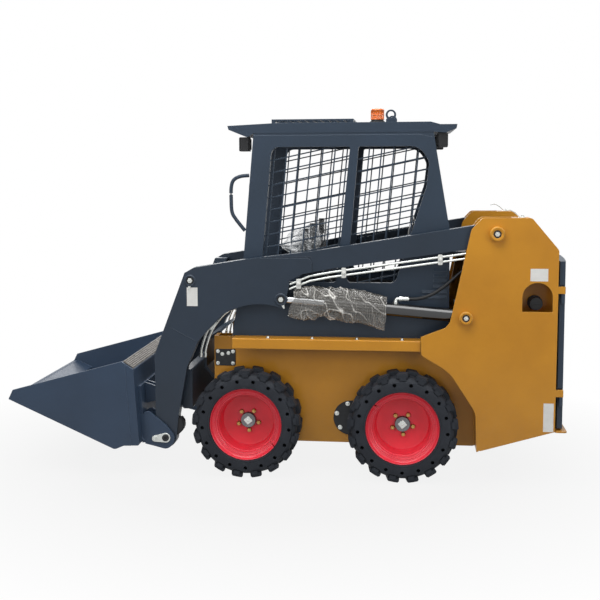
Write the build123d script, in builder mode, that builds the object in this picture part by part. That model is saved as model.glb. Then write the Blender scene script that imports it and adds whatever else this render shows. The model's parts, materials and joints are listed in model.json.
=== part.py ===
"""Compact wheeled skid steer loader, parked with its bucket rolled back.

+X points forward, +Y to the machine's left and +Z up. The origin lies on the
ground, at the middle of the machine's length and width. Sizes are millimetres.
"""

import os
from math import cos, hypot, radians, sin

from build123d import *

os.makedirs("parts", exist_ok=True)

# Wheels and axles
tyre_dia = 584
tyre_width = 195
rim_dia = 392
rim_well_dia = 300
rim_disc_depth = 137
rim_disc_thick = 12
wheel_base = 835
front_axle_x = 190
hub_dia = 78
spindle_dia = 60
axle_tube_dia = 118
tyre_gap = 10
axle_z = tyre_dia / 2
rear_axle_x = front_axle_x - wheel_base

# Lugs and side holes of the solid tyres
lug_count = 17
lug_width = 70
lug_height = 22
lug_reach = 80
lug_inset = 8
row_drop = 2
shoulder_radius = 252
shoulder_depth = 20
carcass_sides = 28
seat_sides = 24
side_hole_radius = 10
side_hole_ring = 236
side_hole_depth = 35
side_hole_sides = 6

# Valve notch in the outer flange of each rim
notch_width = 9
notch_depth = 24
front_notch_angle = -143
rear_notch_angle = 40

# Clearances
pin_gap = 0.05
soft_gap = 0.3

# Lower chassis
tub_half = 375
tub_plate = 8
tub_front_x = 390
tub_rear_x = -1432
belly_z = 162
tub_top_z = 740
case_width = 110
bumper_z = 281
bumper_reach = 62

# Fender ledges
ledge_width = 125
ledge_front_x = 270
ledge_rear_x = -736
ledge_drop = 55
ledge_plate = 8

# Towers that carry the arms
tower_plate = 12
tower_top_z = 1400
tower_gap = 8
tower_inner = tub_half + tower_plate

# Lift arms
arm_width = 70
arm_gap = 43
doubler_plate = 8
arm_plate = 12
arm_pivot_x = -1121
arm_pivot_z = 1318
arm_end_radius = 60
arm_pin_dia = 45

# Lift cylinders
lift_base_x = -968
lift_base_z = 879
lift_eye_x = 5
lift_eye_z = 961
lift_barrel_dia = 70
lift_barrel_length = 745
lift_rod_dia = 40
lift_pin_dia = 32
lift_eye_dia = 68
lift_eye_width = 34

# Bucket pivot and tilt cylinders
bucket_pivot_x = 639
bucket_pivot_z = 195
bucket_pin_dia = 36
tilt_base_x = 499
tilt_base_z = 1058
tilt_lever = 240
tilt_lever_angle = 70
tilt_inset = 52
tilt_barrel_dia = 62
tilt_barrel_length = 545
tilt_rod_dia = 32
tilt_eye_dia = 58
tilt_eye_width = 36
tilt_pin_dia = 30
ear_plate = 14
eye_neck = 18
gland_length = 34

# Bucket
bucket_overhang = 10
bucket_side = 12
seam_step = 3
lip_plate = 10
roll_back = 23.9
attach_thick = 16

# Cab
cab_overhang = 20
cab_wall = 30
cab_floor_z = 748
deck_top_z = 752
roof_z = 1902
roof_thick = 54
lamp_height = 76
step_depth = 2
louvre_count = 6
louvre_rear_x = -872
louvre_low_z = 965
louvre_pitch = 29
louvre_length = 70
louvre_growth = 60
louvre_rise = 7

# Hinges of the rear door and the engine hood
door_hinge_x = -1460
door_hinge_inset = 14
door_hinge_zs = (420, 960)
knuckle_height = 50
lug_thick = 36
door_skin = 8
hinge_pin_dia = 12
hood_hinge_x = -897
hood_hinge_z = 1206

# Widths that follow from the chassis, from the inside out
tyre_outer_y = tub_half + tyre_gap + tyre_width
arm_half = tower_inner + arm_gap + arm_width
tower_outer = arm_half + tower_gap + tower_plate
arm_inner = arm_half - arm_width
arm_mid_y = arm_half - arm_width / 2
tilt_y = arm_inner - tilt_inset
ledge_half = tub_half + ledge_width
bucket_half = tyre_outer_y + bucket_overhang
cab_half = tub_half + cab_overhang
cab_inner = cab_half - cab_wall
door_hinge_y = tower_outer - door_hinge_inset
door_half = tower_outer - 25
hood_half = tub_half - 6
well_half = tub_half - case_width - 6

tilt_eye_x = bucket_pivot_x + tilt_lever * cos(radians(tilt_lever_angle))
tilt_eye_z = bucket_pivot_z + tilt_lever * sin(radians(tilt_lever_angle))


def side_plane(y):
    """The upright plane at y, with its local axes along X and Z."""
    return Plane.XZ.offset(-y)


def outline(*corners, mode=Mode.ADD):
    """A closed flat shape from (x, z, corner radius) triples."""
    with BuildLine() as border:
        FilletPolyline(
            *[(x, z) for x, z, r in corners],
            radius=[r for x, z, r in corners],
            close=True,
        )
    make_face(border.edges(), mode=mode)


def wheel_profile(axle_x, *corners):
    """A section through a wheel, from (radius, y, corner radius) triples."""
    outline(*[(axle_x + radius, y, r) for radius, y, r in corners])


def cylinder_plane(base, tip, y, along=0):
    """A plane across the line from base to tip, along millimetres past the base."""
    span = hypot(tip[0] - base[0], tip[1] - base[1])
    ux, uz = (tip[0] - base[0]) / span, (tip[1] - base[1]) / span
    return Plane(
        origin=(base[0] + ux * along, y, base[1] + uz * along),
        x_dir=(0, 1, 0),
        z_dir=(ux, 0, uz),
    )


def tyre(axle_x, side):
    """A solid tyre with flat-sided carcass, lugs on both shoulders and side holes."""
    y_top = max(side * tyre_outer_y, side * (tyre_outer_y - tyre_width))
    y_low = y_top - tyre_width
    carcass = tyre_dia / 2 - lug_height
    pitch = 360 / lug_count
    middle = (axle_x, axle_z)
    with BuildPart() as ring:
        for edge_y, shoulder_y in ((y_top, y_top - shoulder_depth), (y_low, y_low + shoulder_depth)):
            for y, radius in ((edge_y, shoulder_radius), (shoulder_y, carcass)):
                with BuildSketch(side_plane(y)):
                    with Locations(middle):
                        RegularPolygon(radius, carcass_sides)
            loft(ruled=True)
        with BuildSketch(side_plane(y_top - shoulder_depth)):
            with Locations(middle):
                RegularPolygon(carcass, carcass_sides)
        extrude(amount=tyre_width - 2 * shoulder_depth)
        near_y, far_y = y_top - lug_inset, y_low + lug_inset + lug_reach
        rows = ((near_y, 0), (far_y, 1)) if side > 0 else ((far_y, 0), (near_y, 1))
        for edge_y, row in rows:
            with BuildSketch(side_plane(edge_y)):
                with Locations(middle):
                    with PolarLocations(carcass - row * row_drop, lug_count, start_angle=row * pitch / 2 - 90):
                        Rectangle(2 * lug_height, lug_width)
            extrude(amount=lug_reach)
        with BuildSketch(side_plane(y_top + 1)):
            with Locations(middle):
                RegularPolygon(rim_dia / 2 + soft_gap, seat_sides, major_radius=False)
        extrude(amount=tyre_width + 2, mode=Mode.SUBTRACT)
        hole_y = y_top + 1 if side > 0 else y_low + side_hole_depth
        with BuildSketch(side_plane(hole_y)):
            with Locations(middle):
                with PolarLocations(side_hole_ring, lug_count, start_angle=-90):
                    RegularPolygon(side_hole_radius, side_hole_sides)
        extrude(amount=side_hole_depth + 1, mode=Mode.SUBTRACT)
    return ring.part


def rim(axle_x, side, notch_angle):
    """A dished wheel rim with its hub cap and valve notch, bored for the spindle."""
    y_out = side * (tyre_outer_y - 10)
    y_in = side * (tyre_outer_y - tyre_width + 10)
    disc_out = side * (tyre_outer_y - rim_disc_depth)
    disc_in = disc_out - side * rim_disc_thick
    wall = 10
    bore = spindle_dia / 2 + pin_gap
    with BuildPart() as dish:
        with BuildSketch(Plane.XY.offset(axle_z)):
            wheel_profile(
                axle_x,
                (rim_dia / 2, y_out, 0),
                (rim_dia / 2, y_in, 0),
                (rim_dia / 2 - wall, y_in, 0),
                (rim_dia / 2 - wall, y_in + side * 25, 0),
                (rim_well_dia / 2 + 12, disc_in, 0),
                (bore, disc_in, 0),
                (bore, disc_out + side * 6, 0),
                (0, disc_out + side * 6, 0),
                (0, disc_out + side * 24, 0),
                (hub_dia / 2, disc_out + side * 24, 0),
                (hub_dia / 2, disc_out, 0),
                (rim_well_dia / 2 - 4, disc_out, 0),
                (rim_well_dia / 2, y_out - side * 45, 0),
                (rim_dia / 2 - wall, y_out - side * 25, 0),
                (rim_dia / 2 - wall, y_out, 0),
            )
        revolve(axis=Axis((axle_x, 0, axle_z), (0, 1, 0)))
        with BuildSketch(side_plane(y_out + 1 if side > 0 else y_out + notch_depth)):
            with Locations((axle_x, axle_z)):
                with PolarLocations(rim_dia / 2 - 15, 1, start_angle=notch_angle):
                    Rectangle(60, notch_width)
        extrude(amount=notch_depth + 1, mode=Mode.SUBTRACT)
    return dish.part


# Lower chassis: two chain case sides, belly, front and rear plates
tub_side = [
    (tub_front_x, tub_top_z, 0),
    (tub_front_x, 500, 30),
    (300, 200, 60),
    (250, belly_z, 40),
    (-1020, belly_z, 30),
    (tub_rear_x, 285, 0),
    (tub_rear_x, 360, 0),
    (-1020, 360, 60),
    (-1020, tub_top_z, 0),
]
with BuildPart() as tub:
    with BuildSketch(side_plane(tub_half)):
        outline(*tub_side)
    extrude(amount=2 * tub_half)
    with BuildSketch(side_plane(tub_half - case_width)):
        outline(
            (tub_front_x + 10, tub_top_z + 1, 0),
            (tub_front_x + 10, 410, 0),
            (355, 410, 0),
            (292, 215, 50),
            (250, belly_z + tub_plate, 30),
            (-1016, belly_z + tub_plate, 30),
            (tub_rear_x + 15, 296, 0),
            (tub_rear_x + 15, tub_top_z + 1, 0),
        )
    extrude(amount=2 * (tub_half - case_width), mode=Mode.SUBTRACT)
    for case_y in (tub_half - tub_plate, -tub_half + case_width - tub_plate):
        with BuildSketch(side_plane(case_y)):
            outline(
                (tub_front_x - 20, tub_top_z + 1, 0),
                (tub_front_x - 20, 505, 30),
                (292, 215, 50),
                (250, belly_z + tub_plate, 30),
                (-1012, belly_z + tub_plate, 30),
                (-1028, 348, 0),
                (-1028, tub_top_z + 1, 0),
            )
        extrude(amount=case_width - 2 * tub_plate, mode=Mode.SUBTRACT)
    # Bumper plate behind the rear plate and the feet of the towers
    with BuildSketch(Plane.XY.offset(bumper_z)):
        with Locations((tub_rear_x - soft_gap - bumper_reach / 2, 0)):
            RectangleRounded(bumper_reach, 2 * tower_outer, 14)
        with Locations((tub_rear_x - 4, 0)):
            Rectangle(20, 2 * tub_half - 10)
    extrude(amount=tub_plate)
tub.part.label = "tub"
export_step(tub.part, "parts/tub.step")

# Axle tubes with the spindles that carry the wheels
with BuildPart() as axle_hubs:
    disc_in = tyre_outer_y - rim_disc_depth - rim_disc_thick
    for axle_x in (front_axle_x, rear_axle_x):
        with BuildSketch(side_plane(disc_in - 5)):
            with Locations((axle_x, axle_z)):
                Circle(axle_tube_dia / 2)
        extrude(amount=disc_in - 5 - tub_half)
        with BuildSketch(side_plane(disc_in + rim_disc_thick + 5)):
            with Locations((axle_x, axle_z)):
                Circle(spindle_dia / 2)
        extrude(amount=rim_disc_thick + 12)
    mirror(about=Plane.XZ)
axle_hubs.part.label = "axle_hubs"
export_step(axle_hubs.part, "parts/axle_hubs.step")

# Wheels
for axle_x, end, notch in ((front_axle_x, "front", front_notch_angle), (rear_axle_x, "rear", rear_notch_angle)):
    for side, hand in ((1, "left"), (-1, "right")):
        tyre_part = tyre(axle_x, side)
        tyre_part.label = f"tyre_{end}_{hand}"
        export_step(tyre_part, f"parts/tyre_{end}_{hand}.step")
        rim_part = rim(axle_x, side, notch)
        rim_part.label = f"rim_{end}_{hand}"
        export_step(rim_part, f"parts/rim_{end}_{hand}.step")

# Fender ledges along the chassis sides, above the tyres
with BuildPart() as fenders:
    with BuildSketch(Plane.YZ.offset(ledge_rear_x)):
        outline(
            (tub_half, cab_floor_z, 0),
            (ledge_half, cab_floor_z, 6),
            (ledge_half, cab_floor_z - ledge_drop, 0),
            (ledge_half - ledge_plate, cab_floor_z - ledge_drop, 0),
            (ledge_half - ledge_plate, cab_floor_z - ledge_plate, 0),
            (tub_half, cab_floor_z - ledge_plate, 0),
        )
    extrude(amount=ledge_front_x - ledge_rear_x)
    mirror(about=Plane.XZ)
fenders.part.label = "fenders"
export_step(fenders.part, "parts/fenders.step")

# Towers: an outer and an inner plate on each side with the arm between them
web_depth = tower_outer - tub_half


def tower(side):
    """One tower: two plates, webs, pin bosses and, at the left, the door's hinge lugs."""
    with BuildPart() as frame:
        with BuildSketch(side_plane(tower_outer)):
            outline(
                (-887, 853, 20),
                (-991, 1340, 50),
                (-1045, tower_top_z, 30),
                (-1297, tower_top_z, 25),
                (-1435, 1235, 30),
                (tub_rear_x, 285, 0),
                (-1032, 166, 20),
                (-1025, 377, 120),
                (-888, 588, 200),
                (-741, 676, 20),
                (-736, 773, 0),
                (-864, 824, 15),
            )
        extrude(amount=tower_plate)
        with BuildSketch(side_plane(tower_inner)):
            outline(
                (-905, 853, 20),
                (-991, 1340, 50),
                (-1045, tower_top_z, 30),
                (-1297, tower_top_z, 25),
                (-1435, 1235, 30),
                (tub_rear_x, 285, 0),
                (-1032, 166, 20),
                (-1025, 377, 120),
                (-905, 570, 60),
            )
        extrude(amount=tower_plate)
        with BuildSketch(side_plane(tower_outer)):
            outline(
                (tub_rear_x, 285, 0),
                (-1435, 1235, 30),
                (-1297, tower_top_z, 25),
                (-1200, tower_top_z, 0),
                (-1200, tower_top_z - tower_plate, 0),
                (-1303, tower_top_z - tower_plate, 20),
                (-1423, 1230, 25),
                (tub_rear_x + tower_plate, 289, 0),
            )
            outline(
                (-1032, 166, 0),
                (-1025, 377, 100),
                (-905, 570, 0),
                (-915, 582, 0),
                (-1037, 382, 88),
                (-1044, 170, 0),
            )
        extrude(amount=web_depth)
        for x, z, pin_dia, boss_dia in (
            (arm_pivot_x, arm_pivot_z, arm_pin_dia, 73),
            (lift_base_x, lift_base_z, lift_pin_dia, 66),
        ):
            with BuildSketch(side_plane(tower_outer + 25)):
                with Locations((x, z)):
                    Circle(boss_dia / 2)
            extrude(amount=25)
            with BuildSketch(side_plane(tower_outer + 15)):
                with Locations((x, z)):
                    Circle(pin_dia / 2)
            extrude(amount=tower_outer + 15 - tub_half)
            with BuildSketch(side_plane(tower_inner + arm_gap - 5)):
                with Locations((x, z)):
                    Circle(boss_dia / 2)
            extrude(amount=arm_gap - 5)
        with BuildSketch(side_plane(tower_outer + 1)):
            with BuildLine():
                Polyline((-1254, 990), (-1254, 914), (-1408, 914), (-1408, 990))
                ThreePointArc((-1408, 990), (-1331, 1066), (-1254, 990))
            make_face()
        extrude(amount=tower_plate + 2, mode=Mode.SUBTRACT)
        if side < 0:
            mirror(about=Plane.XZ)
            split(bisect_by=Plane.XZ)
        else:
            for hinge_z in door_hinge_zs:
                with BuildSketch(Plane.XY.offset(hinge_z + knuckle_height + soft_gap)):
                    with Locations(((door_hinge_x - 11 + tub_rear_x) / 2, tower_outer - 11)):
                        Rectangle(tub_rear_x - door_hinge_x + 11, 22)
                extrude(amount=lug_thick)
                with BuildSketch(Plane.XY.offset(hinge_z)):
                    with Locations((door_hinge_x, door_hinge_y)):
                        Circle(hinge_pin_dia / 2)
                extrude(amount=knuckle_height + 1)
    return frame.part


for side, hand in ((1, "left"), (-1, "right")):
    tower_part = tower(side)
    tower_part.label = f"tower_{hand}"
    export_step(tower_part, f"parts/tower_{hand}.step")

# Filler neck and cap of the fuel tank, behind the arched opening of the left tower
with BuildPart() as fuel_filler:
    for start_y, radius, length in (
        (tower_inner + 30, 38, 30),
        (tower_inner + 48, 22, 18),
        (tower_inner + 78, 32, 30),
    ):
        with BuildSketch(side_plane(start_y)):
            with Locations((-1331, 950)):
                Circle(radius)
        extrude(amount=length)
fuel_filler.part.label = "fuel_filler"
export_step(fuel_filler.part, "parts/fuel_filler.step")


def arm(side):
    """One lift arm: rear beam, elbow gusset and front leg, slotted for the lift rod."""
    with BuildPart() as beam:
        with BuildSketch(side_plane(arm_half)):
            with BuildLine():
                slope = radians(9)
                top = (arm_pivot_x + arm_end_radius * sin(slope), arm_pivot_z + arm_end_radius * cos(slope))
                low = (arm_pivot_x - arm_end_radius * sin(slope), arm_pivot_z - arm_end_radius * cos(slope))
                back = (arm_pivot_x - arm_end_radius * cos(slope), arm_pivot_z + arm_end_radius * sin(slope))
                Polyline(
                    low, (-260, 1127), (-110, 1098), (-38, 1061), (-38, 1035), (-9, 910)
                )
                ThreePointArc((-9, 910), (120, 935), (248, 911))
                Polyline((248, 911), (315, 881), (430, 762), (460, 723), (521, 583), (571, 310), (582, 195))
                ThreePointArc((582, 195), (639, 138), (696, 195))
                Polyline((696, 195), (700, 651), (529, 1100), (478, 1129), (214, 1173), (-163, 1220), top)
                ThreePointArc(top, back, low)
            make_face()
        extrude(amount=arm_width)
        with BuildSketch(side_plane(arm_half - arm_plate)):
            outline(
                (-300, 700, 0),
                (-300, 1045, 0),
                (70, 1045, 30),
                (110, 1000, 30),
                (110, 860, 0),
                (110, 700, 0),
            )
        extrude(amount=arm_width - 2 * arm_plate, mode=Mode.SUBTRACT)
        with BuildSketch(side_plane(arm_half)):
            outline(
                (-1250, 1050, 0),
                (-160, 1050, 0),
                (-160, 1184, 28),
                (110, 1181, 60),
                (200, 1215, 0),
                (200, 1300, 0),
                (-1250, 1420, 0),
            )
        extrude(amount=doubler_plate, mode=Mode.SUBTRACT)
        with BuildSketch(side_plane(arm_half + 1)):
            with Locations((arm_pivot_x, arm_pivot_z)):
                Circle(arm_pin_dia / 2 + pin_gap)
            with Locations((bucket_pivot_x, bucket_pivot_z)):
                Circle(bucket_pin_dia / 2 + pin_gap)
        extrude(amount=arm_width + 2, mode=Mode.SUBTRACT)
        if side < 0:
            mirror(about=Plane.XZ)
            split(bisect_by=Plane.XZ)
    return beam.part


for side, hand in ((1, "left"), (-1, "right")):
    arm_part = arm(side)
    arm_part.label = f"arm_{hand}"
    export_step(arm_part, f"parts/arm_{hand}.step")

# Cross beam between the legs of the two arms
with BuildPart() as arm_cross_beam:
    with BuildSketch(side_plane(arm_half - arm_width)):
        outline((505, 340, 10), (505, 560, 10), (560, 560, 10), (560, 340, 10))
    extrude(amount=2 * (arm_half - arm_width))
arm_cross_beam.part.label = "arm_cross_beam"
export_step(arm_cross_beam.part, "parts/arm_cross_beam.step")

# Pins on the arms: elbow brackets of the tilt cylinders and heads of the lift pins
with BuildPart() as arm_pins:
    ear_in = tilt_y - tilt_eye_width / 2 - 5
    with BuildSketch(side_plane(arm_inner)):
        with Locations((tilt_base_x, tilt_base_z)):
            Circle(tilt_pin_dia / 2)
    extrude(amount=arm_inner - ear_in)
    with BuildSketch(side_plane(ear_in)):
        outline(
            (tilt_base_x - 35, tilt_base_z - 32, 20),
            (tilt_base_x - 60, 1100, 0),
            (tilt_base_x + 12, 1100, 0),
            (tilt_base_x + 35, tilt_base_z - 32, 20),
        )
    extrude(amount=ear_plate)
    with BuildSketch(side_plane(arm_inner)):
        outline(
            (tilt_base_x - 60, 1100, 0),
            (tilt_base_x + 12, 1100, 0),
            (tilt_base_x + 12, 1112, 0),
            (tilt_base_x - 60, 1112, 0),
        )
    extrude(amount=arm_inner - ear_in + ear_plate)
    mirror(about=Plane.XZ)
arm_pins.part.label = "arm_pins"
export_step(arm_pins.part, "parts/arm_pins.step")


def barrel(base, tip, y, dia, length, rod_dia, pin_dia, eye_dia, eye_width):
    """A hydraulic barrel: base eye on its pin, gland nut, and a blind bore for the rod."""
    with BuildPart() as tube:
        with BuildSketch(cylinder_plane(base, tip, y, eye_dia / 2 - 4)):
            Circle(eye_width / 2)
        extrude(amount=eye_neck + 4)
        with BuildSketch(cylinder_plane(base, tip, y, eye_dia / 2 + eye_neck)):
            Circle(dia / 2)
        extrude(amount=length - eye_dia / 2 - eye_neck)
        with BuildSketch(cylinder_plane(base, tip, y, length - gland_length)):
            Circle(dia / 2 + 1)
            Circle(dia / 2 - 4, mode=Mode.SUBTRACT)
        extrude(amount=6, mode=Mode.SUBTRACT)
        with BuildSketch(side_plane(y + eye_width / 2)):
            with Locations(base):
                Circle(eye_dia / 2)
        extrude(amount=eye_width)
        with BuildSketch(side_plane(y + eye_width / 2 + 1)):
            with Locations(base):
                Circle(pin_dia / 2 + pin_gap)
        extrude(amount=eye_width + 2, mode=Mode.SUBTRACT)
        with BuildSketch(cylinder_plane(base, tip, y, eye_dia / 2 + eye_neck + 12)):
            Circle(rod_dia / 2 + pin_gap)
        extrude(amount=length, mode=Mode.SUBTRACT)
    return tube.part


def rod(base, tip, y, dia, start, eye_dia, eye_width, pin_dia):
    """A hydraulic rod from inside its barrel to its eye, which its pin doesn't cross."""
    span = hypot(tip[0] - base[0], tip[1] - base[1])
    with BuildPart() as shaft:
        with BuildSketch(cylinder_plane(base, tip, y, start)):
            Circle(dia / 2)
        extrude(amount=span - start - eye_dia / 2 + 6)
        with BuildSketch(side_plane(y + eye_width / 2)):
            with Locations(tip):
                Circle(eye_dia / 2)
                Circle(pin_dia / 2 + pin_gap, mode=Mode.SUBTRACT)
        extrude(amount=eye_width)
    return shaft.part


lift_base = (lift_base_x, lift_base_z)
lift_eye = (lift_eye_x, lift_eye_z)
tilt_base = (tilt_base_x, tilt_base_z)
tilt_eye = (tilt_eye_x, tilt_eye_z)
for side, hand in ((1, "left"), (-1, "right")):
    for name, base, tip, y, dia, length, rod_dia, pin_dia, eye_dia, eye_width in (
        ("lift", lift_base, lift_eye, side * arm_mid_y, lift_barrel_dia, lift_barrel_length,
         lift_rod_dia, lift_pin_dia, lift_eye_dia, lift_eye_width),
        ("tilt", tilt_base, tilt_eye, side * tilt_y, tilt_barrel_dia, tilt_barrel_length,
         tilt_rod_dia, tilt_pin_dia, tilt_eye_dia, tilt_eye_width),
    ):
        barrel_part = barrel(base, tip, y, dia, length, rod_dia, pin_dia, eye_dia, eye_width)
        barrel_part.label = f"{name}_barrel_{hand}"
        export_step(barrel_part, f"parts/{name}_barrel_{hand}.step")
        rod_part = rod(base, tip, y, rod_dia, eye_dia / 2 + eye_neck + 25, eye_dia, eye_width, pin_dia)
        rod_part.label = f"{name}_rod_{hand}"
        export_step(rod_part, f"parts/{name}_rod_{hand}.step")

# Bucket frame of reference: level floor, turned back about the pivot
tilt_back = radians(roll_back)


def from_level(*corners):
    """Corners given about the pivot with the floor level, turned to the parked angle."""
    turned = []
    for x, z, r in corners:
        turned.append((
            bucket_pivot_x + x * cos(tilt_back) - z * sin(tilt_back),
            bucket_pivot_z + x * sin(tilt_back) + z * cos(tilt_back),
            r,
        ))
    return turned


bucket_side_corners = from_level(
    (875, -160, 0),
    (873, -103, 0),
    (378, 302, 10),
    (346, 295, 10),
    (302, 289, 10),
    (255, 196, 30),
    (108, -82, 10),
    (185, -119, 20),
    (223, -160, 30),
)
bucket_inner_corners = from_level(
    (900, -150, 0),
    (900, 400, 0),
    (384, 400, 0),
    (372, 288, 0),
    (312, 277, 20),
    (268, 192, 60),
    (190, -40, 60),
    (215, -110, 50),
    (240, -150, 30),
)
bucket_room = bucket_half - bucket_side
with BuildPart() as bucket:
    with BuildSketch(side_plane(bucket_half)):
        outline(*bucket_side_corners)
    extrude(amount=2 * bucket_half)
    with BuildSketch(side_plane(bucket_room)):
        outline(*bucket_inner_corners)
    extrude(amount=2 * bucket_room, mode=Mode.SUBTRACT)
    # Cutting edge along the front lip, and the down fold of the top lip
    with BuildSketch(side_plane(bucket_room)):
        outline(*from_level((735, -152, 0), (748, -138, 0), (850, -138, 0), (872, -152, 0)))
        outline(*from_level((368, 262, 0), (366, 290, 0), (376, 301, 0), (379, 262, 0)))
    extrude(amount=2 * bucket_room)
    # The ends of the back box stand a little inside the side plates
    for seam_y in (bucket_half, -bucket_half + seam_step):
        with BuildSketch(side_plane(seam_y)):
            outline((700, 60, 0), (808, 60, 0), (848, 660, 0), (700, 660, 0))
        extrude(amount=seam_step, mode=Mode.SUBTRACT)
bucket.part.label = "bucket"
export_step(bucket.part, "parts/bucket.step")

# Quick attach frame: face plate, pivot ears and tilt ears
back_low, back_top = (108, -82), (255, 196)
back_run = hypot(back_top[0] - back_low[0], back_top[1] - back_low[1])
back_nx, back_nz = -(back_top[1] - back_low[1]) / back_run, (back_top[0] - back_low[0]) / back_run
attach_near, attach_far = soft_gap, soft_gap + attach_thick
attach_plate = from_level(
    (back_low[0] + back_nx * attach_near, back_low[1] + back_nz * attach_near, 0),
    (back_top[0] + back_nx * attach_near, back_top[1] + back_nz * attach_near, 0),
    (back_top[0] + back_nx * attach_far, back_top[1] + back_nz * attach_far, 0),
    (back_low[0] + back_nx * attach_far, back_low[1] + back_nz * attach_far, 0),
)
with BuildPart() as quick_attach:
    with BuildSketch(side_plane(arm_half + 5 + ear_plate)):
        outline(*attach_plate)
    extrude(amount=2 * (arm_half + 5 + ear_plate))
    for ear_y in (arm_half + 5 + ear_plate, arm_inner - 5):
        with BuildSketch(side_plane(ear_y)):
            outline(
                *from_level((90, -80, 0), (200, 110, 30), (20, 62, 50), (-58, 20, 50), (-40, -56, 45), (40, -70, 30))
            )
        extrude(amount=ear_plate)
    with BuildSketch(side_plane(arm_half + 5 + ear_plate)):
        with Locations((bucket_pivot_x, bucket_pivot_z)):
            Circle(bucket_pin_dia / 2)
    extrude(amount=arm_width + 10 + 2 * ear_plate)
    for ear_y in (tilt_y + tilt_eye_width / 2 + 5 + ear_plate, tilt_y - tilt_eye_width / 2 - 5):
        with BuildSketch(side_plane(ear_y)):
            outline(
                (tilt_eye_x - 34, tilt_eye_z + 30, 28),
                (tilt_eye_x - 34, tilt_eye_z - 34, 28),
                (775, tilt_eye_z - 60, 0),
                (782, tilt_eye_z + 60, 0),
            )
        extrude(amount=ear_plate)
    mirror(about=Plane.XZ)
quick_attach.part.label = "quick_attach"
export_step(quick_attach.part, "parts/quick_attach.step")

# Cab side walls with their two window openings
front_window = [(128, 1044, 20), (117, 1191, 0), (66, 1774, 45), (-356, 1774, 10), (-284, 1044, 20)]
rear_window = [(-401, 1774, 10), (-723, 1774, 90), (-775, 1690, 60), (-761, 1561, 100), (-600, 1044, 40), (-340, 1044, 20)]
with BuildPart() as cab_sides:
    with BuildSketch(side_plane(cab_half)):
        outline(
            (286, cab_floor_z, 0),
            (223, 1152, 0),
            (164, roof_z - roof_thick, 0),
            (-795, roof_z - roof_thick, 0),
            (-886, 1325, 30),
            (-886, cab_floor_z, 0),
        )
        outline(*front_window, mode=Mode.SUBTRACT)
        outline(*rear_window, mode=Mode.SUBTRACT)
    extrude(amount=cab_wall)
    with BuildSketch(side_plane(cab_half)):
        outline((286, 1862, 0), (240, 1836, 20), (-720, 1836, 30), (-790, 1822, 0), (-810, 1862, 0))
    extrude(amount=step_depth, mode=Mode.SUBTRACT)
    for row in range(louvre_count):
        low_z = louvre_low_z + row * louvre_pitch
        long = louvre_length + (louvre_growth if row < 2 else 0)
        with BuildSketch(Plane.YZ.offset(louvre_rear_x)):
            outline((cab_half, low_z, 0), (cab_half + louvre_rise, low_z, 0), (cab_half, low_z + 16, 0))
        extrude(amount=long)
    mirror(about=Plane.XZ)
cab_sides.part.label = "cab_sides"
export_step(cab_sides.part, "parts/cab_sides.step")

# Cab rear wall between the side walls
with BuildPart() as cab_rear_wall:
    with BuildSketch(side_plane(cab_inner)):
        outline(
            (-886, cab_floor_z, 0),
            (-886, 1325, 30),
            (-795, roof_z - roof_thick, 0),
            (-765, roof_z - roof_thick, 0),
            (-856, 1325, 30),
            (-856, cab_floor_z, 0),
        )
    extrude(amount=2 * cab_inner)
    with BuildSketch(Plane.YZ.offset(-900)):
        with Locations((0, 1560)):
            RectangleRounded(560, 320, 40)
    extrude(amount=200, mode=Mode.SUBTRACT)
    for lug_y in (312, -302):
        with BuildSketch(side_plane(lug_y)):
            outline((-886, 1190, 0), (-906, 1196, 6), (-906, 1216, 6), (-886, 1222, 0))
        extrude(amount=10)
    for pin_y in (302, -240):
        with BuildSketch(side_plane(pin_y)):
            with Locations((hood_hinge_x, hood_hinge_z)):
                Circle(hinge_pin_dia / 2)
        extrude(amount=62)
cab_rear_wall.part.label = "cab_rear_wall"
export_step(cab_rear_wall.part, "parts/cab_rear_wall.step")

# Roof with its front and rear visors
with BuildPart() as cab_roof:
    with BuildSketch(side_plane(cab_half)):
        outline(
            (306, roof_z - 13, 0),
            (300, roof_z - 34, 0),
            (197, roof_z - roof_thick - 22, 20),
            (164, roof_z - roof_thick, 0),
            (-795, roof_z - roof_thick, 0),
            (-860, roof_z - 58, 10),
            (-914, roof_z - 36, 0),
            (-918, roof_z - 14, 0),
            (-830, roof_z - 14, 0),
            (-780, roof_z, 20),
            (40, roof_z, 20),
        )
    extrude(amount=2 * cab_half)
    with BuildSketch(side_plane(cab_inner)):
        outline(
            (197, roof_z - roof_thick - 40, 0),
            (164, roof_z - 20, 10),
            (-780, roof_z - 20, 10),
            (-795, roof_z - roof_thick - 40, 0),
        )
    extrude(amount=2 * cab_inner, mode=Mode.SUBTRACT)
cab_roof.part.label = "cab_roof"
export_step(cab_roof.part, "parts/cab_roof.step")

# Cab floor: a deck over the chain cases and a footwell that reaches past the chassis
deck_rear_x = -856
deck_front_x = 268
deck_middle_x = (deck_rear_x + deck_front_x) / 2
deck_length = deck_front_x - deck_rear_x
well_rear_x = -290
with BuildPart() as cab_floor:
    with BuildSketch(side_plane(well_half)):
        outline(
            (-300, tub_top_z, 0),
            (-250, 420, 30),
            (360, 420, 20),
            (470, 540, 10),
            (470, 700, 20),
            (384, 752, 0),
            (370, 745, 0),
            (455, 690, 10),
            (455, 547, 8),
            (355, 435, 15),
            (-238, 435, 20),
            (-286, deck_top_z, 0),
            (-300, deck_top_z, 0),
        )
    extrude(amount=2 * well_half)
    with BuildSketch(Plane.XY.offset(tub_top_z)):
        with Locations((deck_middle_x, 0)):
            Rectangle(deck_length, 2 * cab_inner)
        with Locations((well_rear_x + 400, 0)):
            Rectangle(800, 2 * well_half, mode=Mode.SUBTRACT)
    extrude(amount=deck_top_z - tub_top_z)
cab_floor.part.label = "cab_floor"
export_step(cab_floor.part, "parts/cab_floor.step")

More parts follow.
